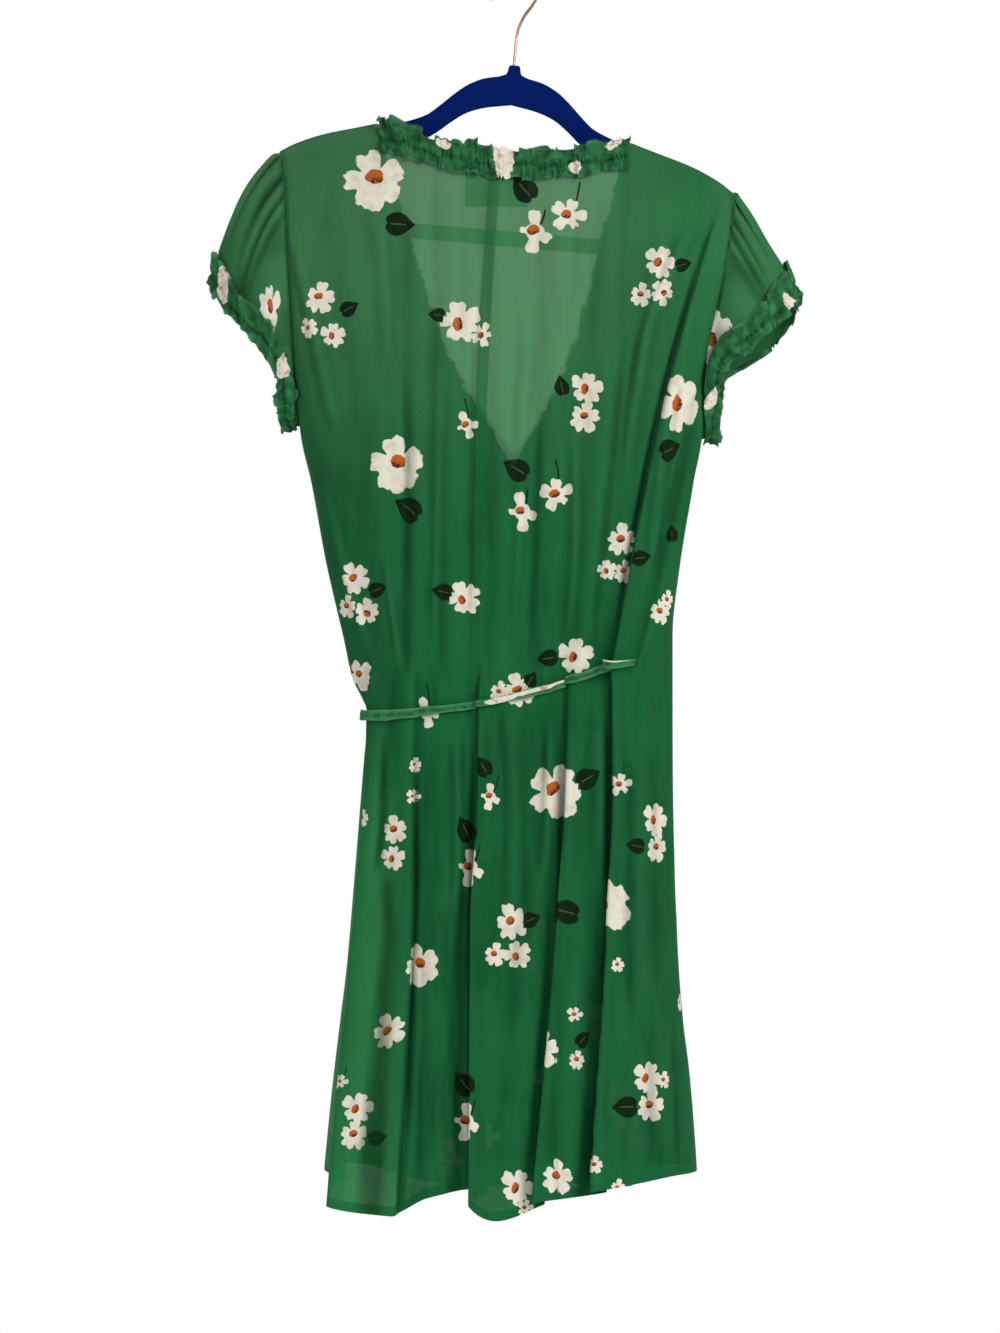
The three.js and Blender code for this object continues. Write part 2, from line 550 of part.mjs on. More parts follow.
function sleeve(side) {
  const headTurn = THREE.MathUtils.degToRad(SLEEVE_GATHERS.reach);
  const head = steps(SLEEVE_GATHERS.count * 2).map((t) => t * headTurn);
  const arm = steps(ARM_COLUMNS).map((t) => headTurn + t * (2 * Math.PI - 2 * headTurn));
  const turns = [...head, ...arm.slice(1, -1), ...head.slice(1).reverse().map((t) => 2 * Math.PI - t)];
  const rows = SLEEVE_ROWS.map((down) => turns.map((turn) => sleevePoint(side, turn, down)));
  return wall(rows, CLOTH, { ring: true });
}

// Ripple of a ruffle at a place along it, from 0 to 1. Four columns draw one wave.
const ripple = (columns, n) => (Math.sin((n / columns) * 2 * Math.PI) + 1) / 2;
const WAVE_COLUMNS = 4;
const RUFFLE_LIFT = (CLOTH + RUFFLE_CLOTH) / 2;

// How far a ruffle stands out at one of its columns. edge is -1, 0 or 1 across the strip.
function ruffleOut(n, edge, depth, clear) {
  const swing = edge === 0 ? STITCH_SWING : 1;
  return RUFFLE_LIFT + clear + depth * 2 * swing * ripple(WAVE_COLUMNS, n + edge * EDGE_SHIFT);
}

function cuffRuffle(side) {
  const columns = CUFF_RUFFLE.waves * WAVE_COLUMNS;
  const place = (n, edge) => {
    const turn = (n / columns) * 2 * Math.PI;
    const length = cuffPoint(side, turn).distanceTo(armholePoint(side, turn));
    const stitch = 1 - Math.min(CUFF_RUFFLE.inset / length, CUFF_SHARE.inset);
    const down = edge < 0 ? stitch - Math.min(CUFF_RUFFLE.up / length, stitch * CUFF_SHARE.up) : stitch;
    const { normal, along: run } = sleeveFrame(side, turn, down);
    const lift = ruffleOut(n, edge, CUFF_RUFFLE.depth, CUFF_RUFFLE.clear);
    const point = sleeveBase(side, turn, down).addScaledVector(normal, lift);
    return edge > 0 ? point.addScaledVector(run, CUFF_RUFFLE.down) : point;
  };
  const rows = [-1, 0, 1].map((edge) => Array.from({ length: columns }, (_, n) => place(n, edge)));
  return wall(rows, RUFFLE_CLOTH, { ring: true });
}

// A ruffle along an open line of a layer. lineAt gives the x and z of its stitch line, and away the
// direction in x and z in which its free edge lies.
function bodyRuffle({ layer, waves, up, down, depth, clear, lineAt }) {
  const columns = waves * WAVE_COLUMNS;
  const place = (n, edge) => {
    const { x, z, awayX, awayZ } = lineAt(n / columns);
    const reach = edge < 0 ? up : edge > 0 ? -down : 0;
    const [atX, atZ] = [x + awayX * reach, z + awayZ * reach];
    return raisedPoint(layer, shareAt(atX, atZ), atZ, ruffleOut(n, edge, depth, clear));
  };
  const rows = [-1, 0, 1].map((edge) => Array.from({ length: columns + 1 }, (_, n) => place(n, edge)));
  return wall(rows, RUFFLE_CLOTH);
}

function neckRuffle() {
  const lineAt = (t) => {
    const x = mix(NECK.left + NECK_RUFFLE.ends, NECK.right - NECK_RUFFLE.ends, t);
    return { x, z: clothTop(x) - NECK_RUFFLE.inset, awayX: 0, awayZ: 1 };
  };
  return bodyRuffle({ layer: BACK, ...NECK_RUFFLE, lineAt });
}

function wrapRuffle(layer, name, end) {
  const inward = name === "left" ? 1 : -1;
  const edgeX = (z) => along(WRAP_EDGES, "z", z, name);
  const start = clothTop(NECK[name]) - RUFFLE_START;
  const step = 4;
  const lineAt = (t) => {
    const z = mix(start, end, t);
    const slope = (edgeX(z + step) - edgeX(z - step)) / (2 * step);
    const length = Math.hypot(1, slope);
    const [awayX, awayZ] = [inward / length, (-slope * inward) / length];
    const inset = WRAP_RUFFLE.inset;
    return { x: edgeX(z) - awayX * inset, z: z - awayZ * inset, awayX, awayZ };
  };
  return bodyRuffle({ layer, ...WRAP_RUFFLE, clear: WRAP_RUFFLE_CLEAR[name], lineAt });
}

// The tie's run across the back, round the left side and on to the knot at the front.
const TIE_LIFT = CLOTH / 2 + TIE.clear + RUFFLE_CLOTH / 2;

function tieStrip(stations) {
  const rows = [1, -1].map((edge) =>
    stations.map(({ layer, share, z, width, lift = 0 }) =>
      raisedPoint(layer, share, z + (edge * width * TIE.width) / 2, TIE_LIFT + lift),
    ),
  );
  return wall(rows, RUFFLE_CLOTH);
}

function longTie() {
  const onBack = steps(TIE.backColumns).map((t) => {
    const at = (column) => along(TIE_RUN, "along", t, column);
    const [x, z, width, lift] = [at("x"), at("z"), at("width"), at("lift")];
    return { layer: BACK, share: shareAt(x, z), z, width, lift };
  });
  const last = onBack.pop();
  const knotShare = shareAt(KNOT.x - KNOT.wide - KNOT.gap, KNOT.z);
  const roundSide = steps(TIE.sideColumns).map((t) => {
    const turned = mix(last.share, -2 - knotShare, t);
    const place = turned < -1 ? { layer: FRONT_RIGHT, share: -2 - turned } : { layer: BACK, share: turned };
    const rise = (WRAP_SPACE / 2) * ease((turned - last.share) / (-1 - last.share));
    const lift = place.layer === BACK ? last.lift + rise : last.lift;
    return { ...place, z: mix(last.z, KNOT.z, t), width: mix(last.width, TIE.atKnot, t), lift };
  });
  return tieStrip([...onBack, ...roundSide]);
}

function shortTie() {
  const overKnot = KNOT.z + KNOT.high + TIE.width / 2 + SHORT_TIE.gap;
  const lift = TIE.frontClear - TIE.clear;
  const stations = steps(SHORT_TIE.columns).map((t) => {
    const [x, z] = [mix(SHORT_TIE.x, KNOT.x, t), mix(SHORT_TIE.z, overKnot, t)];
    return { layer: FRONT_RIGHT, share: shareAt(x, z), z, width: mix(SHORT_TIE.width, TIE.atKnot, t), lift };
  });
  return tieStrip(stations);
}

function knotCentre() {
  return raisedPoint(FRONT_RIGHT, shareAt(KNOT.x, KNOT.z), KNOT.z, CLOTH / 2 + KNOT.clear + KNOT.deep);
}

function knot() {
  const ball = new THREE.SphereGeometry(1, KNOT_FACETS.around, KNOT_FACETS.over);
  ball.scale(KNOT.wide, KNOT.deep, KNOT.high);
  const centre = knotCentre();
  ball.translate(centre.x, centre.y, centre.z);
  return ball;
}

// A tail of the tie hangs from the knot, out over the skirt's folds.
function tieTail(sway, length) {
  const lift = TIE_LIFT + TIE.frontClear - TIE.clear + TAIL.clear;
  const rows = steps(TAIL.rows).map((t) => {
    const z = KNOT.z - KNOT.high - TAIL.gap - t * length;
    const x = KNOT.x + sway * (TAIL.start + TAIL.sway * t);
    return [-1, 1].map((edge) => {
      const atX = x + (edge * TIE.width * TAIL.width) / 2;
      return raisedPoint(FRONT_RIGHT, shareAt(atX, z), z, lift);
    });
  });
  return wall(rows, RUFFLE_CLOTH);
}

function label() {
  const lift = -(CLOTH / 2 + LABEL.gap + RUFFLE_CLOTH / 2);
  const rows = steps(LABEL.rows).map((t) =>
    steps(LABEL.columns).map((u) => {
      const z = mix(LABEL.bottom, LABEL.top, t);
      return raisedPoint(BACK, shareAt(mix(LABEL.left, LABEL.right, u), z), z, lift);
    }),
  );
  return wall(rows, RUFFLE_CLOTH);
}

// The flocked body of the hanger: an arch and two arms over a trouser bar, cut from one flat moulding.
function hangerBody() {
  const arm = (outs, edge) => outs.map((out) => {
    const at = (column) => along(HANGER_ARM, "out", Math.abs(out), column);
    return [out, -at("drop") - edge * at("thick")];
  });
  const corner = (points) => points.map(({ out, drop }) => [out, -drop]);
  const topOuts = [12, 24, 32, 41, 50, 60, 71, 85, 100, 128, 160, 178, 190];
  const right = [
    [NUB.halfTop, NUB.height],
    [NUB.halfFoot, -NUB.foot],
    ...arm(topOuts, 0),
    ...corner(ARM_END),
  ];
  const mirrored = (points) => points.map(([x, z]) => [-x, z]).reverse();
  const outline = [...right, ...mirrored(right)].reverse();
  const underOuts = [0, 12, 24, 32, 41, 50, 60, 71, 85, 100, 128, 160];
  const holeRight = [...arm(underOuts, 1), ...corner(HOLE_CORNER)];
  const hole = [...holeRight, ...mirrored(holeRight.slice(1))];
  const shape = new THREE.Shape(outline.map(([x, z]) => new THREE.Vector2(x, z)));
  shape.holes.push(new THREE.Path(hole.map(([x, z]) => new THREE.Vector2(x, z))));
  const body = new THREE.ExtrudeGeometry(shape, {
    depth: HANGER_THICK - 2 * HANGER_BEVEL,
    bevelThickness: HANGER_BEVEL,
    bevelSize: HANGER_BEVEL,
    bevelOffset: -HANGER_BEVEL,
    bevelSegments: 1,
    curveSegments: 1,
  });
  body.translate(0, 0, -(HANGER_THICK - 2 * HANGER_BEVEL) / 2);
  body.rotateX(Math.PI / 2);
  body.rotateY(HANGER_TILT);
  body.translate(0, 0, ARCH_TOP);
  return body;
}

// The bent wire hook, from the moulding's nub up and round the rod.
function hook() {
  const centreZ = WIRE / 2 - HOOK_RADIUS;
  const arc = steps(16).map((t) => {
    const angle = THREE.MathUtils.degToRad(mix(HOOK_FROM, HOOK_TO, t));
    return new THREE.Vector3(HOOK_RADIUS * Math.cos(angle), 0, centreZ + HOOK_RADIUS * Math.sin(angle));
  });
  const stem = HOOK_STEM.map(({ x, z }) => new THREE.Vector3(x, 0, z));
  const path = new THREE.CatmullRomCurve3([...stem, ...arc]);
  const section = new THREE.Shape();
  section.absarc(0, 0, WIRE / 2, 0, 2 * Math.PI);
  return new THREE.ExtrudeGeometry(section, { steps: 40, curveSegments: 5, extrudePath: path });
}

// The cloth's panels, with the lines that they run between and the columns across each.
const CENTRE_SEAM = seamLine("centre");
const LEFT_SEAM = seamLine("left");
const RIGHT_SEAM = seamLine("right");
const BODICE = {
  back_left: { layer: BACK, from: leftSide, to: CENTRE_SEAM, across: 13 },
  back_right: { layer: BACK, from: CENTRE_SEAM, to: rightSide, across: 16 },
  front_left: { layer: FRONT_LEFT, from: leftSide, to: wrapLine("left"), across: 14 },
  front_right: { layer: FRONT_RIGHT, from: wrapLine("right"), to: rightSide, across: 14 },
};
const SKIRT = {
  back_side_left: { layer: BACK, from: leftSide, to: LEFT_SEAM, across: 12 },
  back_centre_left: { layer: BACK, from: LEFT_SEAM, to: CENTRE_SEAM, across: 7 },
  back_centre_right: { layer: BACK, from: CENTRE_SEAM, to: RIGHT_SEAM, across: 12 },
  back_side_right: { layer: BACK, from: RIGHT_SEAM, to: rightSide, across: 13 },
  front_left: { layer: FRONT_LEFT, from: leftSide, to: wrapLine("left"), across: 20 },
  front_right: { layer: FRONT_RIGHT, from: wrapLine("right"), to: rightSide, across: 22 },
};

const group = new THREE.Group();
function add(name, geometry, material) {
  const mesh = new THREE.Mesh(geometry, material);
  mesh.name = name;
  group.add(mesh);
}

add("hanger_body", hangerBody(), BLUE);
add("hanger_hook", hook(), COPPER);
for (const [name, cut] of Object.entries(BODICE)) add(`bodice_${name}`, bodicePanel(cut), GREEN);
for (const [name, cut] of Object.entries(SKIRT)) add(`skirt_${name}`, skirtPanel(cut), GREEN);
for (const side of ["left", "right"]) {
  add(`sleeve_${side}`, sleeve(side), GREEN);
  add(`cuff_ruffle_${side}`, cuffRuffle(side), GREEN);
}
add("neck_ruffle_back", neckRuffle(), GREEN);
add("neck_ruffle_left", wrapRuffle(FRONT_LEFT, "left", LEFT_RUFFLE_END), GREEN);
add("neck_ruffle_right", wrapRuffle(FRONT_RIGHT, "right", RIGHT_RUFFLE_END), GREEN);
add("waist_tie_long", longTie(), GREEN);
add("waist_tie_short", shortTie(), GREEN);
add("tie_knot", knot(), GREEN);
add("tie_tail_long", tieTail(-1, TAIL.length), GREEN);
add("tie_tail_short", tieTail(1, TAIL.length * TAIL.shorter), GREEN);
add("neck_label", label(), DEEP_GREEN);

export default group;
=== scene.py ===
"""A sheer flowered wrap dress on a flocked hanger: its looks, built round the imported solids.

Sizes of the dress are in millimetres in the part's frame: the origin is where the hook bears on its
rod, +Z is up, the back faces -Y and the wrapped front +Y. Meshes are made in metres.
"""

import logging
import math
from dataclasses import dataclass, field
from enum import Enum
from typing import Callable, NamedTuple, Optional, Sequence

import bmesh
import bpy
import numpy as np
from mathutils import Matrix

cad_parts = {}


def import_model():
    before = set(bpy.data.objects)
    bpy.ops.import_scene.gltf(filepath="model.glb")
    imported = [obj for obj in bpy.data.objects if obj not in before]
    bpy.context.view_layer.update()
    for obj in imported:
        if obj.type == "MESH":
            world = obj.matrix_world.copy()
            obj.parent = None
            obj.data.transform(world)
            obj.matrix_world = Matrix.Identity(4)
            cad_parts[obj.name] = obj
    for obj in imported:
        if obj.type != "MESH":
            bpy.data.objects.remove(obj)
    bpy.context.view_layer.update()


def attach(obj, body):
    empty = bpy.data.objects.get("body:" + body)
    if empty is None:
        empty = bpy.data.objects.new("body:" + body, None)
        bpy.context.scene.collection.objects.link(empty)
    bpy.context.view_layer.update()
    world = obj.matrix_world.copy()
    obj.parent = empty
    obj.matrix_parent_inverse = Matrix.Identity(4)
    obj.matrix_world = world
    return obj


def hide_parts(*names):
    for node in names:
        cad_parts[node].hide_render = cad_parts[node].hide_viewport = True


log = logging.getLogger("wrap_dress")

MM = 0.001
PIXEL = 0.86  # millimetres of the dress for a pixel of the photo
PHOTO_CENTRE_X = 514  # the pixel column and row of the part's origin
PHOTO_TOP = -36
BODY = "root"
SEED = 7


# Tables of the form
class Ring(NamedTuple):
    """A level cut through the body of the dress."""

    z: float
    left: float
    right: float
    back: float
    front: float


class Arm(NamedTuple):
    """A station along the hanger's arm."""

    out: float
    drop: float
    thick: float


class Fold(NamedTuple):
    """A fold that runs the whole height of the bodice or the skirt."""

    x_top: float
    x_mid: float
    x_low: float
    top: float
    low: float
    rise: float
    run: float
    lean: float


class Crease(NamedTuple):
    """A listed crease, from its top to its low end, which fades out at both ends."""

    z_top: float
    x_top: float
    z_mid: float
    x_mid: float
    z_low: float
    x_low: float
    height: float
    rise: float
    run: float
    lean: float = 0.0


class HemPoint(NamedTuple):
    """Heights of the back's and the front's hem at a place across."""

    x: float
    back: float
    front: float


class SeamLevel(NamedTuple):
    """Where the three inner seams of the back lie at a height."""

    z: float
    centre: float
    left: float
    right: float


class WrapLevel(NamedTuple):
    """Where the crossing edges of the right and the left front lie at a height."""

    z: float
    right: float
    left: float


class CuffPoint(NamedTuple):
    """The cuff's edge on its back and its front half, at a share of the way down from its outer tip."""

    down: float
    back_x: float
    back_z: float
    front_x: float
    front_z: float


RINGS = (
    Ring(-150, -204, 191, 12, 12),
    Ring(-190, -198, 190, 24, 24),
    Ring(-265, -194, 180, 32, 34),
    Ring(-350, -189, 164, 36, 42),
    Ring(-405, -184, 161, 37, 46),
    Ring(-445, -175, 154, 36, 47),
    Ring(-515, -162, 142, 32, 43),
    Ring(-580, -147, 137, 28, 36),
    Ring(-612, -140, 137, 27, 34),
    Ring(-648, -126, 137, 27, 33),
    Ring(-680, -129, 137, 29, 36),
    Ring(-790, -138, 139, 37, 46),
    Ring(-860, -144, 142, 43, 52),
    Ring(-910, -150, 146, 47, 56),
    Ring(-960, -156, 152, 51, 60),
    Ring(-1040, -164, 158, 57, 66),
    Ring(-1090, -168, 160, 60, 68),
)
ARM = (
    Arm(0, 0, 26),
    Arm(24, 4.6, 26),
    Arm(38, 11, 25),
    Arm(50, 20.5, 24),
    Arm(61, 31, 23),
    Arm(73, 41, 21),
    Arm(100, 51.5, 19),
    Arm(128, 60, 17),
    Arm(160, 69.5, 16),
    Arm(184, 80, 15),
    Arm(198, 89, 14),
)
HEM = (
    HemPoint(-170, -1037, -1037),
    HemPoint(-158, -1040, -1037),
    HemPoint(-146, -1060, -1038),
    HemPoint(-108, -1073, -1048),
    HemPoint(-72, -1057, -1056),
    HemPoint(-30, -1050, -1061),
    HemPoint(5, -1076, -1058),
    HemPoint(32, -1062, -1052),
    HemPoint(70, -1055, -1061),
    HemPoint(104, -1048, -1060),
    HemPoint(140, -1040, -1040),
    HemPoint(162, -1039, -1040),
)
BACK_SEAMS = (
    SeamLevel(-160, -16, -90, 46),
    SeamLevel(-400, -29, -90, 52),
    SeamLevel(-616, -33, -82, 50),
    SeamLevel(-860, -31, -88, 52),
    SeamLevel(-1080, -26, -98, 54),
)
WRAP_EDGES = (
    WrapLevel(-140, 105, -121),
    WrapLevel(-218, 83, -97),
    WrapLevel(-280, 68, -79),
    WrapLevel(-348, 46, -52),
    WrapLevel(-431, 1, 1),
    WrapLevel(-512, -58, 55),
    WrapLevel(-590, -112, 108),
    WrapLevel(-650, -112, 112),
    WrapLevel(-860, -100, 104),
    WrapLevel(-1080, -88, 96),
)
BODICE_BACK = (
    Fold(-150, -118, -106, 1.5, 4, 22, 16, 0),
    Fold(-84, -84, -86, 1.5, 5, 11, 18, -0.2),
    Fold(-56, -54, -52, 2.5, 3.5, 14, 14, 0),
    Fold(-16, -10, -12, 2.5, 4, 14, 18, 0),
    Fold(38, 34, 28, 3, 4, 18, 20, 0),
    Fold(84, 74, 56, 2.5, 4, 16, 14, 0),
    Fold(184, 131, 92, 5, 10, 10, 30, 0.9),
    Fold(205, 160, 112, 2, 7, 9, 20, 0.8),
)
SKIRT_BACK = (
    Fold(-117, -121, -137, 5, 14, 10, 28, 0.75),
    Fold(-92, -94, -108, 4, 7, 12, 10, -0.4),
    Fold(-60, -64, -68, 2.5, 6, 24, 24, 0),
    Fold(-22, -20, -12, 6, 17, 11, 52, 0.9),
    Fold(54, 52, 38, 5, 15, 10, 40, 0.9),
    Fold(94, 97, 88, 9, 17, 10, 52, 0.9),
)
BODICE_FRONT = (
    Fold(-120, -104, -84, 1, 5, 18, 18, 0),
    Fold(-86, -70, -48, 0, 5, 14, 14, 0),
    Fold(0, -6, -8, 0, 4, 18, 18, 0),
    Fold(84, 62, 34, 0, 5, 14, 14, 0),
    Fold(118, 102, 78, 1, 5, 18, 18, 0),
)
SKIRT_FRONT = (
    Fold(-96, -106, -122, 4, 13, 26, 18, -0.3),
    Fold(-46, -52, -62, 3, 12, 24, 22, 0),
    Fold(4, 4, 2, 3, 13, 26, 24, 0),
    Fold(48, 54, 62, 3, 12, 22, 24, 0),
    Fold(92, 102, 118, 4, 13, 18, 26, 0.3),
)
BACK_CREASES = (
    Crease(-330, -96, -430, -92, -560, -95, -2.2, 5, 8),
    Crease(-300, -64, -440, -66, -612, -70, 1.8, 5, 6),
    Crease(-240, -26, -420, -37, -600, -38, -1.6, 4, 5),
    Crease(-280, 12, -430, 6, -600, 2, 1.7, 7, 5),
    Crease(-360, 22, -470, 18, -610, 12, -1.8, 5, 7),
    Crease(-380, 52, -480, 52, -600, 44, 2.0, 5, 6),
    Crease(-205, 160, -330, 112, -470, 92, 3.0, 9, 8, 0.3),
    Crease(-330, 150, -430, 132, -560, 118, 2.6, 7, 5, 0.4),
    Crease(-210, -196, -300, -176, -420, -150, 2.2, 8, 9),
    Crease(-430, -170, -520, -146, -605, -122, 2.0, 6, 7),
    Crease(-500, -112, -560, -104, -614, -96, 2.2, 5, 6),
    Crease(-640, 74, -720, 80, -860, 84, 2.2, 7, 8, 0.2),
    Crease(-640, 112, -760, 116, -930, 120, 2.8, 8, 9, 0.3),
    Crease(-620, -2, -700, 4, -840, 8, 2.0, 7, 8),
    Crease(-622, 30, -690, 30, -800, 26, 1.8, 5, 7),
    Crease(-640, -50, -720, -48, -830, -50, 1.8, 6, 6),
    Crease(-760, 24, -900, 18, -1060, 12, 3.2, 12, 12),
    Crease(-820, 66, -940, 62, -1060, 58, 2.6, 9, 9),
    Crease(-860, 128, -960, 130, -1045, 134, 3.0, 9, 10),
    Crease(-880, -84, -960, -88, -1060, -92, 2.4, 8, 9),
    Crease(-650, -108, -720, -108, -800, -112, -2.4, 5, 6),
    Crease(-645, -34, -830, -35, -1066, -34, -3.2, 6, 8),
    Crease(-640, 42, -830, 40, -1060, 24, -3.2, 6, 7),
    Crease(-630, 81, -830, 84, -1055, 72, -3.6, 6, 8),
    Crease(-650, -84, -830, -87, -1060, -94, -3.0, 5, 7),
    Crease(-640, -122, -856, -136, -1052, -149, -4.5, 4, 6),
    Crease(-215, 170, -404, 121, -606, 84, -3.0, 6, 8),
    Crease(-240, 196, -404, 151, -606, 104, -2.4, 5, 7),
    Crease(-300, 96, -420, 84, -600, 66, -1.8, 5, 6),
    Crease(-210, 132, -300, 116, -400, 104, 1.6, 9, 9),
    Crease(-200, -120, -280, -112, -360, -110, 1.4, 8, 8),
)
FRONT_CREASES = (
    Crease(-215, -150, -330, -132, -470, -104, 2.4, 9, 9),
    Crease(-215, 150, -330, 128, -470, 96, 2.4, 9, 9),
    Crease(-420, -30, -510, -62, -600, -96, 2.6, 8, 8, 0.2),
    Crease(-430, 30, -520, -10, -606, -70, 2.4, 7, 7, 0.2),
    Crease(-470, 60, -540, 20, -606, -40, 2.0, 7, 7),
    Crease(-400, 92, -500, 70, -600, 40, 2.4, 8, 8),
    Crease(-640, -92, -740, -84, -880, -80, 3.0, 8, 12, -0.3),
    Crease(-640, -20, -760, -26, -900, -30, 2.4, 9, 9),
    Crease(-640, 30, -760, 30, -920, 34, 2.4, 9, 9),
    Crease(-640, 74, -760, 78, -920, 86, 2.4, 9, 9),
    Crease(-820, -90, -940, -92, -1050, -96, 2.6, 9, 9),
    Crease(-800, 20, -930, 24, -1050, 28, 2.6, 9, 10),
)


class LinePoint(NamedTuple):
    """A point of a line down the cloth."""

    z: float
    x: float


class Table:
    """Columns of a table as smooth curves that never swing past its rows."""

    def __init__(self, rows: Sequence[NamedTuple]) -> None:
        """Sorts the rows by their first column, on which the others depend."""
        self.names = rows[0]._fields
        self.rows = np.array(sorted(rows, key=lambda row: row[0]), float)
        self.keys = self.rows[:, 0]

    def column(self, at: np.ndarray, name: str) -> np.ndarray:
        """Reads a column.

        Args:
            at: Keys to read it at.
            name: The column's name.

        Returns:
            Its values there.
        """
        values = self.rows[:, self.names.index(name)]
        secant = np.diff(values) / np.diff(self.keys)
        before, after = secant[:-1], secant[1:]
        product = before * after
        safe = np.where(product > 0, before + after, 1.0)
        slopes = np.concatenate([secant[:1], np.where(product > 0, 2 * product / safe, 0.0), secant[-1:]])
        at = np.clip(np.asarray(at, float), self.keys[0], self.keys[-1])
        i = np.clip(np.searchsorted(self.keys, at, side="right") - 1, 0, len(self.keys) - 2)
        span = self.keys[i + 1] - self.keys[i]
        t = (at - self.keys[i]) / span
        rise = values[i + 1] - values[i]
        start, end = slopes[i] * span, slopes[i + 1] * span
        return values[i] + start * t + (3 * rise - 2 * start - end) * t**2 + (start + end - 2 * rise) * t**3


def ease(share: np.ndarray) -> np.ndarray:
    """Eases a share from 0 to 1, held between them."""
    t = np.clip(share, 0.0, 1.0)
    return t * t * (3 - 2 * t)


def mix(start: np.ndarray, end: np.ndarray, share: np.ndarray) -> np.ndarray:
    """Goes from start to end by a share."""
    return start + (end - start) * share


class Crinkle:
    """A smooth unevenness over a plane, the same at each run: a sum of long low waves."""

    def __init__(self, seed: int, width: float, height: float, waves: int = 22) -> None:
        """Draws the waves.

        Args:
            seed: The random seed.
            width: Typical distance between ripples across the cloth.
            height: Typical distance between them up the cloth.
            waves: How many waves are summed.
        """
        source = np.random.default_rng(seed)
        self.across = 2 * np.pi / (width * source.uniform(0.6, 2.0, waves)) * source.choice([-1, 1], waves)
        self.up = 2 * np.pi / (height * source.uniform(0.7, 2.4, waves))
        self.phase = source.uniform(0, 2 * np.pi, waves)
        self.scale = 1.0 / math.sqrt(waves / 2)

    def at(self, u: np.ndarray, v: np.ndarray) -> np.ndarray:
        """Height of the unevenness, of about 1, at places u across and v up the cloth."""
        total = np.zeros(np.broadcast(u, v).shape)
        for across, up, phase in zip(self.across, self.up, self.phase):
            total += np.sin(across * u + up * v + phase)
        return total * self.scale


class Layer(Enum):
    """The layers of the body: side that it faces, way out from the wrap's middle, share of its seam."""

    BACK = (-1, 0, 0)
    FRONT_LEFT = (1, -1, -1)
    FRONT_RIGHT = (1, 1, 1)

    @property
    def side(self) -> int:
        """-1 for the back and 1 for the front."""
        return self.value[0]


